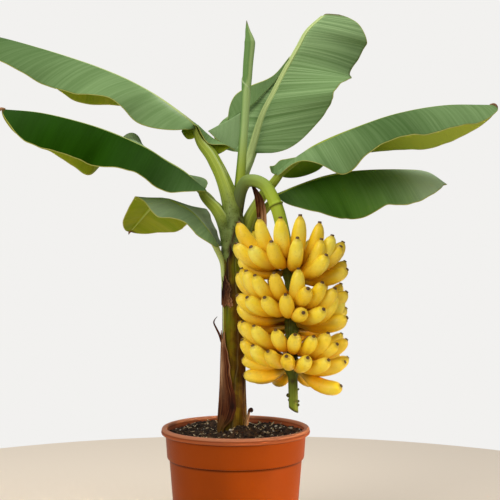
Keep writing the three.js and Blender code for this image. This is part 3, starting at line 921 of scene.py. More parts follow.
def make_stem():
    """The false stem of wrapped sheaths, with their free edges standing proud of it."""
    share, around = even_grid(220, 120)
    heading = 360 * around
    angle = np.radians(heading)
    centre = STEM.at(share)
    height = centre[..., 2]
    radius = along_list(STEM_RADII, share) - EDGE_ALLOWANCE + 0 * heading
    marks = {kind: 0 * radius for kind in ("bruise", "rust", "fresh", "fold")}
    for low, high, start, end, proud in SHEATH_EDGES:
        climb = np.clip((height - low) / (high - low), 0, 1)
        wander = 3 * np.sin(height / 19) + 2 * np.sin(height / 7.3)
        gap = heading_gap(heading, blend(start, end, climb) + wander)
        up, down = EDGE_ENDS
        inside = smooth_step(low - up, low + up, height) * (1 - smooth_step(high - down, high, height))
        radius = radius + proud * inside * np.where(gap > 0, np.exp(-gap / EDGE_SPREAD), 0)
        # A pale line on each proud edge, and painted shade in the crease just beside it.
        marks["fold"] += 0.2 * inside * bell(gap, 1.5, math.sqrt(5))
        marks["bruise"] += 0.6 * inside * bell(gap, -4, math.sqrt(20))
    front = smooth_step(0.05, 0.35, -np.sin(angle))
    across = centre[..., 0] + radius * np.cos(angle)
    for kind, x, level, wide, tall, strength in FRONT_STAINS:
        away = ((height - level) / tall) ** 2 + ((across - x) / wide) ** 2
        marks[kind] += strength * front * np.exp(-(away**2))
    for kind, level, side, tall, wide, strength in STEM_STAINS:
        marks[kind] += strength * bell(height, level, tall) * bell(heading_gap(heading, side), 0, wide)
    folds = 0.35 * np.sin(angle * 19 + height / 70) + 0.25 * np.sin(angle * 41 - height / 45)
    table = round_table(centre, radius + folds, angle, height)
    marks["bruise"] += seam_shade(table)
    marks = {kind: np.clip(values, 0, 1) for kind, values in marks.items()}
    finish(closed_tube("false_stem", table, **marks), [STEM_SHEATH], ["stem"])


make_stem()

# ---------- dry sheath, frayed collar, curled strip and old stub ----------

# Shares of the stem that the dry sheath spans, and the headings in degrees of its back edge and,
# from its foot up, of its front edge.
DRY_SHARES = (0.085, 0.485)
DRY_BACK_HEADING = 150
DRY_FRONT_HEADINGS = (229, 238, 272, 283, 278, 270, 262, 254, 247, 241, 235)
COLLAR_HEIGHTS = (499, 556)
CURLED_STRIP = (
    (-28, -6, 426), (-33, -6, 441), (-39, -4, 453), (-44, -3, 464), (-42, -3, 471), (-37, -2, 477),
)
STUB_BODY = ((19, -28, 226), (21, -28, 250), (24, -27, 272), (27, -26, 289))
STUB_CURL = ((26.5, -26, 287), (29, -27, 293), (32, -27, 294), (33, -27, 290), (30, -27, 288))
STUB_RAG = ((23, -33, 238), (27, -34, 232), (33, -36, 230))


def make_dry_skin(name, table, thickness, replaced=(), **marks):
    """A thin brown skin round the stem."""
    skin = shaped_grid(name, table, **marks)
    edit(skin)
    bpy.ops.mesh.normals_make_consistent(inside=False)
    leave_edit()
    apply_modifier(skin, "SOLIDIFY", thickness=thickness, offset=0)
    finish(skin, [DRY_SHEATH], replaced)


def make_dry_sheath():
    """Papery brown sheath round the left of the stem, puckered along its length."""
    share, across = even_grid(90, 60)
    stem_share = blend(*DRY_SHARES, share)
    ragged = 2 * np.sin(share * 19) + 1.2 * np.sin(share * 47)
    pinch = 30 * smooth_step(0.82, 1.0, share)
    front = along_list(DRY_FRONT_HEADINGS, share) + ragged * across - pinch * 0.3
    heading = blend(DRY_BACK_HEADING + pinch, front, across)
    puckers = 0.45 * np.sin(across * 34 + share * 5) + 0.3 * np.sin(across * 71 - share * 9)
    lift = 1.9 + 2.2 * (across - 0.5) ** 2 * smooth_step(0.3, 1, share) + puckers * 0.7
    radius = along_list(STEM_RADII, stem_share) + lift + 1.2 * smooth_step(0.9, 1, across)
    centre = STEM.at(stem_share)
    wavy_top = 9 * np.sin(across * 8) * smooth_step(0.85, 1, share)
    table = round_table(centre, radius, np.radians(heading), centre[..., 2] + wavy_top)
    dark = bell(share, 0.3, 0.16) * bell(across, 0.9, 0.17)
    dark = dark + 0.6 * bell(share, 0.5, 0.25) * bell(across, 0.58, 0.06)
    # A painted highlight down its middle, and papery at its top and along its front edge.
    pale = bell(share, 0.68, 0.22) * bell(across, 0.56, 0.13) + 0.6 * smooth_step(0.84, 0.96, share)
    pale = pale + 0.8 * smooth_step(0.96, 1, across) * smooth_step(0.5, 0.7, share)
    marks = {"bruise": np.clip(dark, 0, 1), "fold": np.clip(pale, 0, 1) * 0.95}
    make_dry_skin("dry_sheath_wrap", table, 1.0, ["dry_sheath"], **marks)


def make_frayed_collar():
    """What is left of an old sheath round the front left of the stem: a short frayed skin."""
    share, across = even_grid(40, 60)
    torn = 4 * np.sin(share * 11) + 2.5 * np.sin(share * 31) + 1.5 * np.sin(share * 67)
    heading = blend(186 + 22 * share, 264 - 14 * share + torn, across)
    ragged = 2.4 * np.sin(across * 13) + 1.7 * np.sin(across * 41 + 1)
    height = blend(*COLLAR_HEIGHTS, share) + 6 * np.sin(across * 9 + 2) * share + ragged
    stem_foot, stem_top = STEM_HEIGHTS
    stem_share = np.clip((height - stem_foot) / (stem_top - stem_foot), 0, 1)
    lift = 1.3 + 0.5 * np.sin(across * 40) + 1.2 * smooth_step(0.8, 1, share)
    radius = along_list(STEM_RADII, stem_share) + lift
    table = round_table(STEM.at(stem_share), radius, np.radians(heading), height)
    frayed = 0.6 * smooth_step(0.6, 0.98, across + 0.1 * np.sin(share * 9))
    frayed = frayed + 0.35 * (1 - smooth_step(0, 0.08, share))
    dark = 0.9 * smooth_step(0.1, 0.55, share) * (1 - 0.55 * across) + 0.5 * (1 - across) ** 2
    dark = dark + 0.4 * np.sin(across * 25 + share * 4) ** 4
    marks = {"bruise": np.clip(dark, 0, 1), "fold": np.clip(frayed, 0, 1)}
    make_dry_skin("frayed_collar", table, 0.8, **marks)


def flat_strip(share, angle):
    return 1 - 0.55 * np.abs(np.cos(angle))


def make_curled_strip():
    """The thin strip that has torn off the dry sheath's top and curls away from the stem."""
    radii = (3.4, 2.9, 2.6, 2.2, 1.6, 0.5)
    marks = {"bruise": (0.1, 0.9), "fold": 0.0}
    strip = limb("curled_dry_strip", CURLED_STRIP, radii, 30, 10, shape=flat_strip, **marks)
    finish(strip, [DRY_SHEATH])


def rolled_foot(share, angle):
    return 1 + 0.22 * np.cos(angle * 2) + 0.12 * np.sin(angle * 5 + share * 3)


def make_old_stub():
    """The rolled, dead foot of an old leaf beside the stem, with its black curled top."""
    rows = 36
    dark_top = smooth_step(0.75, 1.0, even_grid(rows, 1)[0]) * 0.8
    body_marks = {"bruise": dark_top, "fold": 0.8}
    body = limb("stub_body", STUB_BODY, (4.8, 4.2, 3.6, 2.8), rows, 24, shape=rolled_foot, **body_marks)
    knot = limb("stub_curl", STUB_CURL, (2.8, 3.0, 2.6, 2.4, 1.6), 24, 12, bruise=1.0, fold=0.0)
    rag = limb("stub_rag", STUB_RAG, (2.6, 1.8, 0.7), 14, 10, bruise=0.2, fold=0.5)
    finish(join([body, knot, rag], "old_leaf_stub"), [DRY_SHEATH], ["old_stub"])


make_dry_sheath()
make_frayed_collar()
make_curled_strip()
make_old_stub()

# ---------- leaves ----------

# Share of its half width that a blade has at its very foot.
BLADE_FOOT = 0.1
BLADE_THICKNESS = 0.8
# How much more a half droops at its margin than at the rib, as a share of its droop.
CURL = 0.8
SWEEP = (-0.1, 0.1, 0.2, 0.25, 0.3)
BLADE_ROWS = 150
HALF_COLUMNS = 24
# How far the blade dips into its rib, as a share of the rib's half width.
RIB_SINK = 0.7
# Share of the blade's length that its rib runs under.
RIB_REACH = 0.97
# Half the angle between a stalk's two wings, in radians, and the shares of the stalk between
# which its speckled foot fades.
CHANNEL_HALF_ANGLE = 0.75
FOOT_REACH = (0.25, 0.62)

# Each leaf: its stalk from the stem out to the blade and its radii, then the blade's rib.
# right and left are the droop angles of the two halves below level, at even steps from base
# to tip, seen from the base; turn rolls the blade about its rib, right side down. half is the
# full half width, and widths are each half's share of it. base_share and tip_share say where
# the blade is full, and bluntness how its tip closes. Sweeps say how far a half's veins lean
# towards the tip, and an auricle leans them back round the foot. bloom is how waxy
# and pale each half looks, partly its waxy bloom and partly painted sheen and painted light;
# rib_sheen adds painted sheen along the rib, vivid_painted_light is a brighter green painted
# as light where a blade lies in shade, pleat is how much the folds between veins show, in
# their bump and in painted highlights on their crests and painted shade between them, and
# lit_under is how far light comes through the outer part. stalk_pale and rib_pale are how
# pale the stalk and rib are, top_shade paints shade where they meet, and foot_reach is where
# the stalk's speckles fade. rib_end is the rib's half width at the tip, and rib_faint makes
# the pale line over it narrower.
LEAVES = {
    "upper_left": {
        "stalk": (
            (-2, -3, 590), (-3, -6, 635), (-5, -7, 678), (-12, -4, 716),
            (-28, 4, 761), (-46, 12, 797), (-62, 20, 827), (-78, 30, 863),
        ),
        "stalk_radii": (17, 20, 21, 18, 15, 13.5, 12, 6.5),
        "rib_pale": 0.8,
        "top_shade": 0.35,
        "rib": (
            (-78, 30, 863), (-94, 35, 880), (-158, 60, 929), (-222, 80, 967), (-291, 105, 999),
            (-354, 125, 1023), (-424, 145, 1047), (-516, 170, 1075), (-613, 190, 1095),
        ),
        "half": 115,
        "right": (10, 20, 25, 35, 48, 36, 30, 25, 20),
        "right_widths": (0.25, 1, 1, 1),
        "left": (26, 36, 26, 37, 40, 31, 25, 22, 20),
        "rib_faint": 3,
        "base_share": 0.16,
        "left_widths": (0.8, 0.97, 1, 1),
        "bloom": (0.8, 0.85, 0.65, 0.38, 0.25),
        "rib_sheen": (0.12, 0.12, 0.8),
        "pleat": 0.35,
    },
    "mid_left": {
        "stalk": (
            (-9, -2, 560), (-12, -6, 605), (-18, -10, 645),
            (-30, -12, 680), (-46, -9, 706), (-62, -5, 734),
        ),
        "stalk_radii": (16, 16, 15, 13.5, 12.5, 8),
        "rib_pale": 0.4,
        "top_shade": 0.25,
        "foot_reach": (0.5, 0.78),
        "rib": (
            (-62, -5, 734), (-101, -15, 769), (-141, -25, 793), (-185, -40, 819),
            (-269, -65, 852), (-367, -95, 875), (-444, -120, 880),
        ),
        "half": 112,
        "right": (-32, -8, 0, -11, -13, 52, 46, 34, 30, 26, 20),
        "left": (10, 35, 40, 40, 50, 46, 44, 42, 30),
        "right_sweep": (-0.1, 0, 0.05, 0.1, 0.2),
        "right_bloom": (1.2, 1.4, 1.2, 0.1, 0.1),
        "tip_share": 0.74,
        "base_share": 0.2,
        "bloom": (0.3, 0.08, 0.0, 0.0, 0.05),
        "pleat": 0.2,
    },
    "low_left": {
        "stalk": (
            (-23, -8, 445), (-23, -9, 503), (-24.5, -10, 541),
            (-26, -13, 580), (-30, -16, 604), (-34, -18, 621),
        ),
        "stalk_radii": (2, 2.8, 3, 4, 5, 6.5),
        "stalk_pale": (0.75, 0.75, 0.7, 0.65, 0.6, 0.6),
        "foot_reach": (-1.0, -0.5),
        "rib": (
            (-34, -18, 621), (-59, -25, 659), (-85, -25, 687), (-111, -15, 703),
            (-146, 8, 717), (-173, 44, 702), (-201, 84, 676), (-226, 110, 650),
        ),
        "half": 64,
        "rib_pale": 0.1,
        "right": (-30, -20, -12, 0, 15, 28, 28, 20, 20),
        "left": (22, 30, 22, 30, 6, -16, -2, 4, 4),
        "right_widths": (0.7, 0.9, 1.2, 1.4, 1.4),
        "right_sweep": (-0.6, -0.35, -0.1, 0.2, 0.3),
        "left_widths": (1, 1, 1, 1, 0.92, 0.7, 0.74, 0.9, 1),
        "base_share": 0.16,
        "right_bloom": (1.5, 1.8, 1.4, 0.6, 0.4),
        "bloom": (0.9, 1.3, 1.4, 0.6, 0.1),
        "vivid_painted_light": (0.4, 0.2, 0.0, 0.3, 0.2),
        "pleat": 0.3,
    },
    "tall_right": {
        "stalk": ((-5, 5, 610), (-2, 16, 662), (4, 30, 712), (16, 42, 765), (29, 53, 813)),
        "stalk_radii": (14, 13.5, 12, 10.5, 10),
        "stalk_pale": (0, 0.1, 0.4, 0.7, 0.8),
        "rib": (
            (29, 53, 813), (52, 68, 891), (77, 80, 943), (102, 93, 993),
            (130, 108, 1044), (152, 123, 1083), (192, 148, 1123),
        ),
        "half": 138,
        "turn": 32,
        "right": (15, 5, 0, 0, 14, 40, 28, 12, 0),
        "left": (0, 15, 28, 35, 60, 80, 85, 85, 80),
        "right_widths": (1.12, 1.12, 1.08, 1.03, 1.02, 0.92, 0.94, 0.95, 0.95),
        "vivid_painted_light": (0.0, 0.25, 0.2, 0.0, 0.0),
        "right_auricle": (0.25, 0.07),
        "right_sweep": (0.4, 0.35, 0.3, 0.35, 0.4),
        "left_sweep": (-0.15, 0.05, 0.3, 0.35, 0.4),
        "base_share": 0.3,
        "tip_share": 0.74,
        "bluntness": 0.5,
        "rib_end": 4.2,
        "bloom": (1.0, 0.8, 0.9, 1.1, 1.2),
        "pleat": 1.0,
    },
    "upper_right": {
        "stalk": (
            (-4, 2, 545), (4, 9, 608), (22, 14, 665), (48, 12, 712), (66, 8, 742), (83, 0, 769),
        ),
        "stalk_radii": (16, 17, 16, 13, 10.5, 8),
        "rib": (
            (83, 0, 769), (119, -8, 796), (165, -16, 826), (244, -28, 858),
            (323, -38, 883), (414, -50, 897), (508, -60, 896),
        ),
        "half": 115,
        "right": (20, 15, 50, 36, 30, 34, 31, 30, 20),
        "left": (16, 20, 14, 24, 34, 41, 38, 30, 20),
        "base_share": 0.25,
        "bluntness": 0.45,
        "bloom": (0.85, 0.75, 0.3, 0.65, 0.85),
        "lit_under": 0.75,
        "pleat": 0.45,
    },
    "low_right": {
        "stalk": ((-4, 6, 520), (4, 22, 585), (26, 44, 640), (56, 38, 692), (82, 15, 725)),
        "stalk_radii": (13, 14, 12, 10, 7),
        "rib": (
            (82, 15, 725), (119, 22, 742), (185, 35, 765), (254, 48, 776),
            (341, 62, 779), (400, 72, 774), (435, 80, 747),
        ),
        "half": 112,
        "right": (30, 40, 60, 68, 46, 45, 36, 25, 0),
        "left": (0, 20, 30, 30, 30, 30, 20, 10, 0),
        "base_share": 0.25,
        "bloom": (0.35, 0.15, 0.45, 1.5, 1.65),
        "vivid_painted_light": (0.3, 0.8, 0.9, 0.9, 0.9),
        "pleat": 0.3,
    },
}

# Withered ends of blades: the line each follows and its radii.
DRY_TIPS = (
    (((500, -59, 896), (508, -60, 896), (513, -61, 891), (512, -62, 884)), (2.0, 2.8, 2.2, 0.7)),
    (((-438, -119, 880), (-446, -120, 880), (-451, -121, 876), (-452, -121, 869)), (2.4, 3, 2.4, 0.7)),
    (((-222, 106, 656), (-227, 111, 649), (-229, 113, 644)), (1.6, 2.2, 0.6)),
)
# Dry skins along the upper edge of a stalk: the line each follows and its radii.
DRY_WINGS = (
    (
        ((-64, -8, 733), (-53, -10, 722), (-42, -11, 709), (-33, -11, 694), (-27, -11, 678)),
        (0.8, 3.0, 3.2, 2.6, 0.6),
    ),
    (((-28, -2, 784), (-20, -4, 768), (-15, -5, 752)), (0.6, 2.4, 0.6)),
)


def crumpled(share, angle):
    return 1 + 0.3 * np.cos(angle * 2 + share * 4) + 0.1 * np.sin(angle * 5)


def thin_wing(share, angle):
    return 1 - 0.6 * np.abs(np.sin(angle))


def make_dry_tips_and_skins():
    """The withered ends of the blades, and the dry skins left on the stalks."""
    tips = [
        limb("dry_tip", points, radii, 24, 14, shape=crumpled, bruise=(0.0, 0.45), fold=0.7)
        for points, radii in DRY_TIPS
    ]
    wing_marks = {"wing": 0.55, "foot": 0.0, "bruise": 0.28}
    skins = [
        limb("dry_wing", points, radii, 30, 14, start=(1, 0, 0.8), shape=thin_wing, **wing_marks)
        for points, radii in DRY_WINGS
    ]
    finish(join(tips, "dry_blade_tips"), [DRY_SHEATH])
    finish(join(skins, "dry_stalk_skins"), [LEAF_STALK])


def outline(share, leaf):
    """Share of the full half width at each share of the blade's length."""
    tip_share = leaf.get("tip_share", 0.62)
    before_full = np.maximum(0, 1 - share / leaf["base_share"])
    opening = BLADE_FOOT + (1 - BLADE_FOOT) * np.sqrt(1 - before_full**2)
    past_full = np.maximum(0, (share - tip_share) / (1 - tip_share))
    closing = np.maximum(0, 1 - past_full**2) ** leaf.get("bluntness", 0.75)
    return np.maximum(0.015, opening * closing)


def rib_half_width(share, leaf):
    """Half width of the rib along the blade, in millimetres."""
    return blend(leaf["stalk_radii"][-1], leaf.get("rib_end", 1.3), np.asarray(share) ** 0.7)


def blade_half(leaf, name, side, share, rib, axes, rng):
    """Points of one half from beside the rib out to its margin, how far each lies from the rib,
    and the half's width."""
    centre, ahead, rightward, upward = axes
    width = leaf["half"] * outline(share, leaf) * along_list(leaf.get(name + "_widths", (1, 1)), share)
    droop = along_list(leaf[name], share)
    auricle, reach = leaf.get(name + "_auricle", (0, 0.05))
    sweep = along_list(leaf.get(name + "_sweep", SWEEP), share) - auricle * bell(share, 0, reach)
    wave = sum(
        rng.uniform(0.5, 1.1) * np.sin(share * math.tau * turns + rng.uniform(0, math.tau))
        for turns in (5, 8, 13)
    )
    columns = np.arange(HALF_COLUMNS)
    middles = (columns + 0.5) / HALF_COLUMNS
    curled = droop * (1 - CURL / 2 + CURL * middles)
    angle = np.radians(curled + wave * middles**2 * smooth_step(0.0, 0.2, share))[..., None]
    steps = rightward * side * np.cos(angle) - upward * np.sin(angle) + ahead * sweep[..., None]
    from_rib = width * (columns + 1) / HALF_COLUMNS
    dip = rib * RIB_SINK * bell(from_rib, 0, rib)
    out = np.cumsum(steps * (width / HALF_COLUMNS)[..., None], axis=1)
    return centre + out - upward * dip[..., None], from_rib, width


def blade_tables(leaf, seed):
    """Points of the blade from its right margin to its left one, and the marks on them."""
    rng = random.Random(seed)
    share = even_grid(BLADE_ROWS, 1)[0]
    line = Line(leaf["rib"])
    centre, ahead = line.at(share), line.ahead(share)
    turn = np.full(share.shape, math.radians(leaf.get("turn", 0)))
    rightward = turned(unit(np.cross(ahead, UP)), ahead, turn)
    upward = np.cross(rightward, ahead)
    rib = rib_half_width(share, leaf)
    axes = (centre, ahead, rightward, upward)
    left, left_from_rib, left_width = blade_half(leaf, "left", -1, share, rib, axes, rng)
    right, right_from_rib, right_width = blade_half(leaf, "right", 1, share, rib, axes, rng)
    spine = centre - upward * (rib * RIB_SINK)[..., None]
    points = np.concatenate([right[:, ::-1], spine, left], axis=1)
    from_rib = np.concatenate([right_from_rib[:, ::-1], 0 * rib, left_from_rib], axis=1)
    # The rib's own column counts with the right half for its width and the left for its bloom and
    # sheen.
    widths = np.hstack([right_width, left_width]).repeat((HALF_COLUMNS + 1, HALF_COLUMNS), axis=1)
    end_gap = (1 - share) * line.length
    blooms = [along_list(leaf.get(name, leaf["bloom"]), share) for name in ("right_bloom", "bloom")]
    bloom = np.hstack(blooms).repeat((HALF_COLUMNS, HALF_COLUMNS + 1), axis=1)
    # Painted sheen along the rib near the blade's foot.
    rib_sheen_share, rib_sheen_reach, rib_sheen = leaf.get("rib_sheen", (0, 1, 0))
    marks = {
        "rib_share": from_rib / rib * leaf.get("rib_faint", 1),
        "from_margin": np.minimum(widths - from_rib, end_gap),
        "bloom": bloom + rib_sheen * bell(share, rib_sheen_share, rib_sheen_reach) * bell(from_rib, 0, 22),
        "pleat": leaf["pleat"],
        "withered": smooth_step(9, 2, end_gap) * 0.9,
        "vivid_painted_light": along_list(leaf.get("vivid_painted_light", (0, 0)), share),
        "lit_under": smooth_step(0.35, 0.6, share) * leaf.get("lit_under", 0),
    }
    return points, marks


def make_blade(name, leaf, seed):
    points, marks = blade_tables(leaf, seed)
    dress_blade(shaped_grid("blade_of_" + name, points, **marks), ["blade_" + name])


def dress_blade(blade, replaced=()):
    """Gives a sheet of blade its thickness, with its top, underside and margin materials."""
    materials = [LEAF_TOP, LEAF_UNDERSIDE, LEAF_MARGIN]
    for material in materials:
        blade.data.materials.append(material)
    layers = {"material_offset": 1, "material_offset_rim": 2, "use_quality_normals": True}
    apply_modifier(blade, "SOLIDIFY", thickness=BLADE_THICKNESS, offset=0, **layers)
    face_materials = [polygon.material_index for polygon in blade.data.polygons]
    finish(blade, materials, replaced)
    blade.data.polygons.foreach_set("material_index", face_materials)


# Lobes at the foot of a blade: which of their long edges is free (0 the first, 1 the last),
# how waxy they look, partly painted sheen, and their curves from the nearest or lowest edge to the
# farthest.
LOBES = {
    "lobe_right_of_upper_left": (0, 0.85, (
        (
            (-88, 12, 868), (-77, 12, 861), (-69, 12, 845), (-60, 14, 831),
            (-49, 16, 826), (-24, 22, 826), (-13, 26, 822),
        ),
        (
            (-84, 34, 872), (-73, 36, 863), (-62, 38, 853), (-51, 40, 844),
            (-38, 40, 835), (-23, 38, 828), (-12, 32, 823),
        ),
        (
            (-74, 44, 858), (-66, 42, 846), (-57, 36, 831), (-50, 32, 819),
            (-41, 32, 807), (-29, 36, 811), (-13, 34, 821),
        ),
    )),
    "lobe_left_of_upper_left": (0, 0.85, (
        ((-106, 58, 868), (-98, 56, 870), (-90, 52, 871), (-84, 46, 870), (-76, 40, 868)),
        ((-110, 48, 864), (-102, 46, 862), (-95, 42, 862), (-86, 38, 862), (-78, 36, 862)),
        ((-112, 40, 855), (-107, 38, 846), (-100, 34, 839), (-92, 30, 838), (-85, 26, 840)),
    )),
    "lobe_behind_tall_right": (1, 0.75, (
        (
            (-16, 100, 885), (-4, 98, 893), (8, 96, 900), (20, 94, 907),
            (37, 92, 919), (57, 92, 940), (78, 92, 962), (108, 100, 1006),
        ),
        (
            (-16, 108, 886), (-9, 108, 906), (3, 106, 923), (18, 104, 932),
            (36, 100, 942), (60, 98, 956), (82, 96, 975), (110, 101, 1013),
        ),
        (
            (-19, 112, 886), (-14, 118, 918), (-4, 118, 939), (12, 112, 951),
            (34, 106, 961), (66, 102, 973), (87, 100, 988), (113, 102, 1021),
        ),
    )),
    "lobe_before_tall_right": (0, 1.2, (
        ((-58, 102, 861), (-42, 86, 844), (-28, 78, 832), (-13, 72, 824), (2, 68, 816)),
        ((-59, 102, 862), (-38, 90, 858), (-21, 84, 857), (-6, 80, 857), (7, 76, 856)),
        ((-60, 104, 863), (-40, 98, 873), (-18, 94, 884), (-4, 90, 892), (8, 86, 899)),
    )),
    "lobe_left_of_upper_right": (1, 0.7, (
        ((69, -14, 776), (73, -12, 766), (84, -12, 763), (100, -12, 771), (120, -10, 784)),
        ((68, -8, 778), (76, -2, 773), (86, 2, 778), (100, 2, 785), (120, -4, 793)),
        ((69, -4, 780), (79, 8, 783), (90, 12, 793), (104, 12, 796), (124, 4, 799)),
    )),
}


def make_lobe(name, free_edge, waxy, curves):
    """A small fold of blade beside its stalk, laid over three curves."""
    share, across = even_grid(40, 16)
    lines = np.stack([along_list(curve, share[:, 0]) for curve in curves], axis=1)
    table = np.stack([along_list(line, across[0]) for line in lines])
    reach = np.linalg.norm(np.diff(table, axis=1), axis=2).sum(axis=1)[:, None]
    marks = {"rib_share": 5.0, "pleat": 0.2, "withered": 0.0, "vivid_painted_light": 0.2, "lit_under": 0.0}
    from_margin = reach * np.abs(free_edge - across)
    dress_blade(shaped_grid(name, table, from_margin=from_margin, bloom=waxy, **marks))


def angle_from_top(angle):
    return np.abs((angle + math.pi) % math.tau - math.pi)


def channelled(share, angle):
    """Round below, with a channel between two raised wings on top, at angle 0, past its foot."""
    from_top = angle_from_top(angle)
    opened = smooth_step(0.2, 0.75, share)
    inside = np.clip(1 - from_top / CHANNEL_HALF_ANGLE, 0, 1)
    wings = 0.1 * opened * bell(from_top, CHANNEL_HALF_ANGLE, 0.16)
    return 1 - 0.3 * opened * smooth_step(0, 1, inside) + wings


def make_stalk(name, leaf):
    """The leaf's stalk and, in one piece with it, the rib that runs under its blade."""
    stalk_line, rib_line = Line(leaf["stalk"]), Line(leaf["rib"])
    share, around = even_grid(110, 40)
    angle = math.tau * around
    joint = stalk_line.length / (stalk_line.length + rib_line.length * RIB_REACH)
    on_stalk = np.clip(share / joint, 0, 1)
    on_rib = np.clip((share - joint) / (1 - joint), 0, 1) * RIB_REACH
    past = share > joint
    middle = np.where(past, rib_line.at(on_rib[:, 0]), stalk_line.at(on_stalk[:, 0]))
    line = Line(middle, samples=1200)
    radii = np.where(past, rib_half_width(on_rib, leaf), along_list(leaf["stalk_radii"], on_stalk))
    ahead = line.ahead(share)
    roll = math.radians(leaf.get("turn", 0)) * smooth_step(0, 1, on_stalk)
    level = turned(unit(np.cross(ahead, UP)), ahead, roll)
    above = np.cross(level, ahead)
    out = above * np.cos(angle)[..., None] + level * np.sin(angle)[..., None]
    radius = radii * channelled(on_stalk, angle)
    sunk = smooth_step(0.75, 1.0, on_stalk) * radii
    table = line.at(share) + out * radius[..., None] - above * sunk[..., None]
    near_blade = smooth_step(0.75, 0.95, on_stalk) * (1 - smooth_step(0.02, 0.1, on_rib))
    # Painted shade in the crown's split and where the stalk meets its blade.
    dark = seam_shade(table) + leaf.get("top_shade", 0) * near_blade
    winged = smooth_step(0.45, 0.7, on_stalk) * (1 - smooth_step(0.8, 1, on_stalk))
    wing = 0.8 * winged * bell(angle_from_top(angle), CHANNEL_HALF_ANGLE, 0.13)
    stalk_pale = leaf.get("stalk_pale", (0, 0))
    rib_pale = leaf.get("rib_pale", stalk_pale[-1])
    pale = blend(along_list(stalk_pale, on_stalk), rib_pale, smooth_step(0, 0.05, on_rib))
    past_foot = smooth_step(*leaf.get("foot_reach", FOOT_REACH), on_stalk)
    stalk = closed_tube(
        "stalk_of_" + name,
        table,
        wing=np.maximum(wing, pale),
        foot=0.95 * (1 - past_foot),
        bruise=np.clip(dark, 0, 1),
    )
    finish(stalk, [LEAF_STALK], ["petiole_" + name])


for leaf_seed, (leaf_name, leaf_shape) in enumerate(LEAVES.items()):
    make_blade(leaf_name, leaf_shape, leaf_seed)
    make_stalk(leaf_name, leaf_shape)
for lobe_name, lobe in LOBES.items():
    make_lobe(lobe_name, *lobe)
make_dry_tips_and_skins()

# ---------- rolled new leaf ----------

SPEAR = Line([
    (0, 8, 640), (4, 10, 690), (9, 12, 752), (18, 12, 872),
    (24, 12, 981), (28, 12, 1032), (24, 12, 1058), (22, 12, 1077),
])
SPEAR_RADII = (11.5, 11, 9, 8.5, 9.6, 11.0)
SPEAR_SHOULDER = 0.9
# Share of its length between which the free edge crosses the front, from right to left.
SPEAR_CROSSING = (0.66, 0.75)
# Angles of the free edge and of the line between the lit side and the side painted in shade,
# in degrees, below and above that crossing.
SPEAR_EDGE = (152, -30)
SPEAR_SHADE = (52, 105)


def make_spear():
    """The newest leaf, rolled into a tube whose free edge crosses its front."""
    share, around = even_grid(220, 64)
    angle = math.tau * around
    past = np.clip((share - SPEAR_SHOULDER) / (1 - SPEAR_SHOULDER), 0, 1)
    crossed = smooth_step(*SPEAR_CROSSING, share)
    gap = (angle - np.radians(blend(*SPEAR_EDGE, crossed))) % math.tau
    radius = along_list(SPEAR_RADII, share / SPEAR_SHOULDER) * (1 - past) ** 1.1 + 0.7
    radius = radius * (0.88 + 0.18 * gap / math.tau)
    centre = SPEAR.at(share)
    table = round_table(centre, -radius, angle, centre[..., 2])
    # Painted shade on the side short of this line and round the back.
    past_split = angle - np.radians(blend(*SPEAR_SHADE, crossed))
    edge = bell(gap, 0, 0.12) + bell(gap, math.tau, 0.14)
    spear = closed_tube(
        "rolled_new_leaf",
        table,
        wing=np.clip(edge * 0.7, 0, 1) * (1 - past) * smooth_step(0.3, 0.5, share),
        foot=1 - smooth_step(0.25, 0.52, share),
        shade_share=1 - smooth_step(-0.3, 0.3, past_split) * (1 - smooth_step(2.7, 3.2, angle)),
        bruise=smooth_step(0.97, 1.0, share) * 0.8,
    )
    finish(spear, [ROLLED_LEAF], ["spear_leaf"])


make_spear()

# ---------- sizes of the bananas ----------

# Outline of a finger on its own axis: distance from its root, radius, as shares of its length.
FINGER_OUTLINE = (
    (0.00, 0.060), (0.05, 0.055), (0.10, 0.060), (0.15, 0.078), (0.21, 0.100), (0.28, 0.119),
    (0.37, 0.131), (0.49, 0.137), (0.61, 0.138), (0.72, 0.135), (0.81, 0.125), (0.88, 0.107),
    (0.93, 0.083), (0.96, 0.056), (0.975, 0.037), (1.00, 0.032),
)
FINGER_SIDES = 14
FINGER_FACES = 5
ROOT_RADIUS = 12
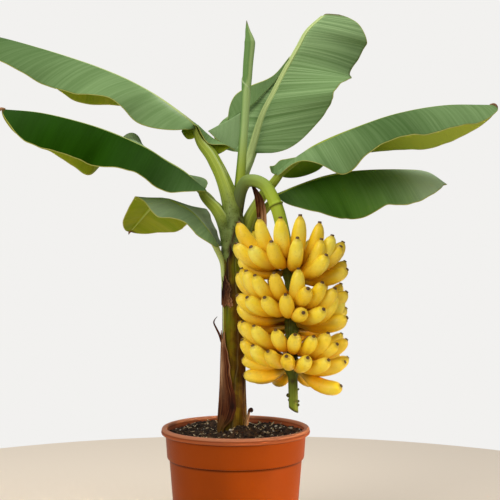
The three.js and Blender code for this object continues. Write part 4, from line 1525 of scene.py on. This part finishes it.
# Each row of fingers: its root's height, how much lower its right side hangs, how much lower
# both sides hang, the fingers' length and girth, how far they sag, then each finger's heading
# and how high its tip stands.
HANDS = {
    "banana_hand_1": (
        (600, 14, 10, 106, 1.0, 6, (
            (-168, 666), (-127, 672), (-101, 673), (-76, 678), (-48, 665), (-39, 640), (-30, 619),
            (0, 628), (32, 630), (62, 634), (95, 640), (128, 650), (164, 664),
        )),
        (582, 15, 16, 106, 1.0, 7, (
            (-162, 625), (-132, 618), (-110, 628), (-84, 635), (-54, 633), (-55, 603), (-22, 575),
            (12, 590), (42, 600), (72, 611), (102, 618), (134, 622), (168, 625),
        )),
        (562, 6, 0, 92, 1.0, 12, ((178, 596), (156, 598), (133, 596), (20, 580))),
    ),
    "banana_hand_2": (
        (517, 13, 10, 104, 1.0, 6, (
            (-168, 577), (-149, 573), (-132, 565), (-110, 570), (-84, 578), (-76, 541), (-59, 552),
            (-43, 540), (-14, 532), (15, 546), (45, 556), (78, 562), (110, 568), (142, 570), (174, 568),
        )),
        (492, 14, 11, 103, 1.0, 7, (
            (-163, 525), (-141, 523), (-119, 524), (-98, 530), (-81, 496), (-60, 502), (-34, 529),
            (-15, 518), (-23, 483), (10, 498), (38, 506), (68, 512), (100, 518), (130, 522), (164, 524),
        )),
        (472, 6, 0, 96, 1.0, 12, (
            (179, 506), (160, 504), (138, 500), (112, 498), (54, 486), (24, 482), (-10, 476),
        )),
        (456, 4, 0, 88, 1.0, 6, ((50, 456), (80, 454), (112, 456), (146, 460))),
    ),
    "banana_hand_3": (
        (424, 11, 4, 100, 1.0, 5, (
            (-160, 475), (-136, 470), (-109, 464), (-89, 456), (-70, 452), (-51, 457), (-41, 435),
            (-12, 440), (18, 447), (50, 454), (82, 459), (115, 465), (148, 470), (178, 474),
        )),
        (393, 11, 4, 100, 1.0, 6, (
            (-161, 440), (-137, 433), (-117, 424), (-98, 416), (-77, 413), (-54, 407), (-26, 399),
            (2, 403), (30, 409), (60, 415), (92, 421), (125, 429), (160, 437),
        )),
        (386, 5, 0, 88, 1.0, 12, ((-172, 402), (162, 404), (140, 400), (14, 396))),
        (440, 4, 0, 80, 1.0, 6, ((68, 452),)),
    ),
    "banana_hand_4": (
        (378, 0, 0, 85, 1.14, 14, ((-174, 371), (150, 362), (110, 352), (60, 352))),
        (378, 0, 0, 96, 1.06, 20, ((-30, 354),)),
    ),
}

# ---------- fruit stalk ----------

FRUIT_STALK_LINE = Line([
    (-2, 2, 640), (3, -5, 690), (10, -16, 728), (20, -29, 746), (31, -39, 749), (45, -50, 746),
    (60, -58, 736), (71, -66, 718), (80, -72, 698), (88, -77, 672), (98, -80, 625),
    (106, -80, 580), (109, -80, 510), (110, -80, 440), (112, -80, 366), (114, -80, 300),
])
FRUIT_STALK_RADII = (13, 12.6, 12.4, 12.6, 12.6, 11.4, 10.2, 9.4, 9.2)
# How shaded and how waxy it looks along its length.
FRUIT_STALK_SHADE = (1, 0.9, 0.35, 0.0, 0.3, 0.9, 1, 1, 1, 0.55)
FRUIT_STALK_WAX = (0.4, 0.7, 0.5, 0.0, 0, 0, 0, 0, 0, 0)
# Share of its length past which it hangs.
HANGING_SHARE = 0.3
# The ring scar where a bract has dropped: its height on the hanging part, how proud it stands,
# and how far below it the painted shadow line lies.
RING_HEIGHT = 699
RING_PROUD = 2.8
RING_SHADOW = 2.6
# How much thicker the stalk is where a row of fingers sits.
CUSHION = 3.5
# Rough places on the hanging part: heading, height, half height.
STALK_SCARS = ((262, 357, 5), (300, 317, 3), (200, 386, 4), (40, 330, 5))
# Small knobs left by dropped flowers: heading, height, size.
STALK_KNOBS = (
    (192, 329, 4.6), (-14, 317, 2.8), (-22, 310, 3.2), (-6, 340, 2.2), (186, 384, 2.6),
    (95, 335, 3.4), (140, 318, 3.0), (60, 352, 2.6),
)
# The withered bract from its top down: its middle's X, its half width, its top and its length.
BRACT_X = (35, 45, 50, 52, 53)
BRACT_WIDTHS = (3.5, 8, 9.5, 9.5, 9)
BRACT_TOP = 738
BRACT_LENGTH = 84
# The middle of the cut end, and how much the cut falls towards +X and rises towards +Y.
CUT_X, CUT_Y = 114, -80
CUT_SLANTS = (0.55, 0.2)
# The hanging part's middle where the knobs sit, and how far out from it they start.
KNOB_AXIS = (113.0, -80.0)
KNOB_ROOT = 6


def uneven(share, angle):
    return 1 + 0.025 * np.sin(3 * angle + 9 * share) + 0.02 * np.sin(7 * angle - 22 * share)


def outward(heading):
    angle = math.radians(heading)
    return np.array((math.cos(angle), math.sin(angle), 0.0))


def make_knob(heading, height, size):
    out = outward(heading)
    root = np.array((*KNOB_AXIS, height)) + out * KNOB_ROOT
    points = [root, root + out * (2 + size * 0.5), root + out * (4 + size * 0.6) + UP * 1.5]
    marks = {"bruise": (0.4, 0.95), "shade_share": 0.6, "waxy": 0.0}
    return limb("knob", points, (size, size * 0.95, size * 0.6), 8, 10, start=(0, 0.1, 1), **marks)


def make_fruit_stalk():
    """The fruit stalk from the crown over its bend to its cut end, with its scars and knobs."""
    rows, columns = 260, 36
    share = even_grid(rows, columns)[0]
    centre = FRUIT_STALK_LINE.at(share)
    hanging = share > HANGING_SHARE
    radii = along_list(FRUIT_STALK_RADII, share)
    radii = radii + RING_PROUD * hanging * bell(centre[..., 2], RING_HEIGHT, 1.8)
    for rows_of_hand in HANDS.values():
        for row_height, *_ in rows_of_hand:
            radii = radii + CUSHION * hanging * bell(centre[..., 2], row_height, 8)
    start = (0, -1, 0.01)
    table = limb_table(FRUIT_STALK_LINE, radii[:, 0], rows, columns, start=start, shape=uneven)
    slant_x, slant_y = CUT_SLANTS
    fall = slant_x * (table[..., 0] - CUT_X) - slant_y * (table[..., 1] - CUT_Y)
    table[..., 2] -= smooth_step(0.93, 1.0, share) * fall
    ring_shadow = 0.9 * hanging * bell(centre[..., 2], RING_HEIGHT - RING_SHADOW, 1.5)
    foot = 0.55 * (1 - smooth_step(0.06, 0.26, share))
    bruise = np.clip(ring_shadow + foot + smooth_step(0.988, 1.0, share), 0, 1)
    heading = np.degrees(np.arctan2(table[..., 1] - CUT_Y, table[..., 0] - centre[..., 0]))
    for side, height, tall in STALK_SCARS:
        scar = bell(table[..., 2], height, tall) * bell(heading_gap(heading, side), 0, 34)
        bruise = bruise + 0.85 * hanging * scar
    marks = {
        "bruise": np.clip(bruise + seam_shade(table), 0, 1),
        "shade_share": along_list(FRUIT_STALK_SHADE, share),
        "waxy": along_list(FRUIT_STALK_WAX, share),
    }
    stalk = closed_tube("fruit_stalk", table, **marks)
    knobs = [make_knob(*knob) for knob in STALK_KNOBS]
    nodes = ["fruit_stalk_rise", "fruit_stalk_bend", "fruit_stalk_hang"]
    finish(join([stalk, *knobs], "fruit_stalk"), [FRUIT_STALK], nodes)


def make_dry_bract():
    """The brown withered bract that hangs under the bend of the fruit stalk."""
    share, across = even_grid(50, 24)
    across = 2 * across - 1
    folds = 1.6 * np.sin(across * 9 + share * 4) + 0.8 * np.sin(across * 17)
    x = along_list(BRACT_X, share) + across * along_list(BRACT_WIDTHS, share)
    y = -46 - 8 * share + 3 * (1 - across**2) + folds
    z = BRACT_TOP - BRACT_LENGTH * share - 2 * across + 5 * np.sin(across * 6) * share**3
    wavering = across + 0.3 * np.sin(share * 9)
    pale = smooth_step(0.25, 0.7, share) * smooth_step(-0.5, 0.6, wavering)
    marks = {"bruise": 0.9 * (1 - smooth_step(0, 0.5, share)), "fold": pale}
    bract = shaped_grid("dry_bract_strip", np.stack([x, y, z], -1), **marks)
    apply_modifier(bract, "SOLIDIFY", thickness=1.0, offset=0)
    finish(bract, [DRY_SHEATH], ["dry_bract"])


make_fruit_stalk()
make_dry_bract()

# ---------- bananas ----------

# The hanging part of the fruit stalk's line is all that lies past this X.
HANGING_X = 60
# Share of its reach at which a finger bends, and how much later it bends the more it rises.
ELBOW_SHARE = 0.58
ELBOW_RISE = 0.34


def straight_finger():
    """One upright finger of unit length, raised ring by ring from its root."""
    deselect()
    bpy.ops.mesh.primitive_circle_add(vertices=FINGER_SIDES, radius=1, fill_type="NGON")
    finger = bpy.context.object
    edit(finger)
    place, radius = FINGER_OUTLINE[0]
    bpy.ops.transform.resize(value=(radius, radius, 1), center_override=(0, 0, 0))
    for next_place, next_radius in FINGER_OUTLINE[1:]:
        rise = {"value": (0, 0, next_place - place)}
        bpy.ops.mesh.extrude_region_move(TRANSFORM_OT_translate=rise)
        ratio = next_radius / radius
        bpy.ops.transform.resize(value=(ratio, ratio, 1), center_override=(0, 0, next_place))
        place, radius = next_place, next_radius
    bpy.ops.mesh.select_all(action="SELECT")
    bpy.ops.mesh.normals_make_consistent(inside=False)
    leave_edit()
    points = points_of(finger.data)
    angle = np.arctan2(points[:, 1], points[:, 0])
    ridge = np.abs(np.cos(angle * FINGER_FACES / 2))
    body = np.sin(np.clip(points[:, 2], 0, 1) * math.pi) ** 0.5
    swell = 1 + 0.05 * (ridge - 0.6) * body
    move_points(finger.data, points * np.stack([swell, swell, np.ones_like(swell)], -1))
    paint(finger.data, "finger_share", points[:, 2])
    paint(finger.data, "ridge", smooth_step(0.9, 1.0, ridge) * body)
    return finger


def bent_finger(model, root, elbow, tip, girth, ripeness):
    """A copy of the straight finger, laid on the arc that leaves its root towards its elbow."""
    finger = copy_of(model, "finger")
    points = points_of(finger.data)
    share = points[:, 2:3]
    chord = tip - root
    length = np.linalg.norm(chord)
    ahead = chord / length
    side = unit(np.cross(ahead, UP))
    tangent = unit((1 - share) * (elbow - root) + share * (tip - elbow))
    normal = np.cross(np.broadcast_to(side, tangent.shape), tangent)
    centre = (1 - share) ** 2 * root + 2 * share * (1 - share) * elbow + share**2 * tip
    thick = length * girth
    placed = centre + side * points[:, :1] * thick + normal * points[:, 1:2] * thick
    move_points(finger.data, placed)
    paint(finger.data, "ripeness", np.full(len(points), ripeness))
    return finger


def bunch_axis(height):
    """The middle of the fruit stalk at a height, on its hanging part."""
    hanging = FRUIT_STALK_LINE.raw[FRUIT_STALK_LINE.raw[:, 0] > HANGING_X]
    x, y = (np.interp(-height, -hanging[:, 2], hanging[:, k]) for k in (0, 1))
    return np.array((x, y, height))


def make_hand(name, rows, model, rng):
    """One hand: each finger curves out of the fruit stalk towards its heading and its tip."""
    fingers = []
    for root_height, fall, drop, length, plumpness, sag, pointers in rows:
        for heading, tip_height in pointers:
            out = outward(heading)
            start = root_height - fall * out[0] - drop * out[0] ** 2
            rise = tip_height - start
            reach = math.sqrt(length**2 - rise**2)
            root = bunch_axis(start) + out * ROOT_RADIUS
            lean = ELBOW_SHARE + ELBOW_RISE * abs(rise) / length
            elbow = root + out * reach * (lean + rng.uniform(-0.05, 0.05))
            elbow[2] += min(rise, 0) - sag * rng.uniform(0.7, 1.3)
            tip = root + out * reach + UP * rise
            girth = plumpness * rng.uniform(0.97, 1.05)
            fingers.append(bent_finger(model, root, elbow, tip, girth, rng.random() * 0.6))
    hand = join(fingers, name.replace("banana_hand", "bananas_of_hand"))
    finish(hand, [BANANA_PEEL], [name])


def make_bananas():
    model = straight_finger()
    rng = random.Random(5)
    for name, rows in HANDS.items():
        make_hand(name, rows, model, rng)
    bpy.data.objects.remove(model)


make_bananas()

# ---------- stage and light ----------

FLOOR_RADIUS = 1.35
# What the camera sees behind the plant, and what lights it: colour and strength.
BACKDROP = ("#F2F1EF", 1.0)
SKY = ("#F4F6F8", 0.36)
# Round area lights: name, place, what each is aimed at, width, power, colour, spread in degrees.
LIGHTS = (
    ("top_light", (-0.2, 0.2, 3.0), (0.0, 0, 0.7), 2.6, 48, "#FFFFFF", 180),
    ("front_light", (-1.4, -2.4, 1.7), (0.05, 0, 0.55), 1.5, 37, "#FFFBF4", 180),
    ("side_light", (2.2, -0.75, 0.3), (0.0, 0, 0.05), 0.6, 1.3, "#FFE9C4", 17),
)


def make_stage():
    """A plain pale round floor."""
    material = new_material("pale_floor", Roughness=0.6, Base_Color=colour("#FBEBD6"))[0]
    deselect()
    bpy.ops.mesh.primitive_circle_add(vertices=96, radius=FLOOR_RADIUS, fill_type="NGON")
    floor = bpy.context.object
    floor.name = "floor"
    floor.data.materials.append(material)
    deselect()


def area_light(name, place, target, size, power, shade, spread):
    """A round lamp at a place, turned towards its target."""
    light = bpy.data.lights.new(name, "AREA")
    light.shape = "DISK"
    light.size = size
    light.energy = power
    light.spread = math.radians(spread)
    light.color = colour(shade)[:3]
    lamp = bpy.data.objects.new(name, light)
    lamp.location = place
    aim = Vector(target) - Vector(place)
    lamp.rotation_euler = aim.to_track_quat("-Z", "Y").to_euler()
    bpy.context.scene.collection.objects.link(lamp)


def make_world():
    """A plain backdrop for the camera, with a dimmer sky of its own that lights the plant."""
    world = bpy.data.worlds.new("studio")
    world.use_nodes = True
    tree = world.node_tree
    tree.nodes.clear()
    seen, lit = (
        node(tree, "ShaderNodeBackground", {"Color": colour(shade), "Strength": strength}).outputs[0]
        for shade, strength in (BACKDROP, SKY)
    )
    camera_ray = node(tree, "ShaderNodeLightPath").outputs["Is Camera Ray"]
    both = node(tree, "ShaderNodeMixShader", {0: camera_ray, 1: lit, 2: seen}).outputs[0]
    node(tree, "ShaderNodeOutputWorld", {"Surface": both})
    bpy.context.scene.world = world
    bpy.context.scene.view_settings.view_transform = "Standard"


make_stage()
make_world()
for lamp_setting in LIGHTS:
    area_light(*lamp_setting)
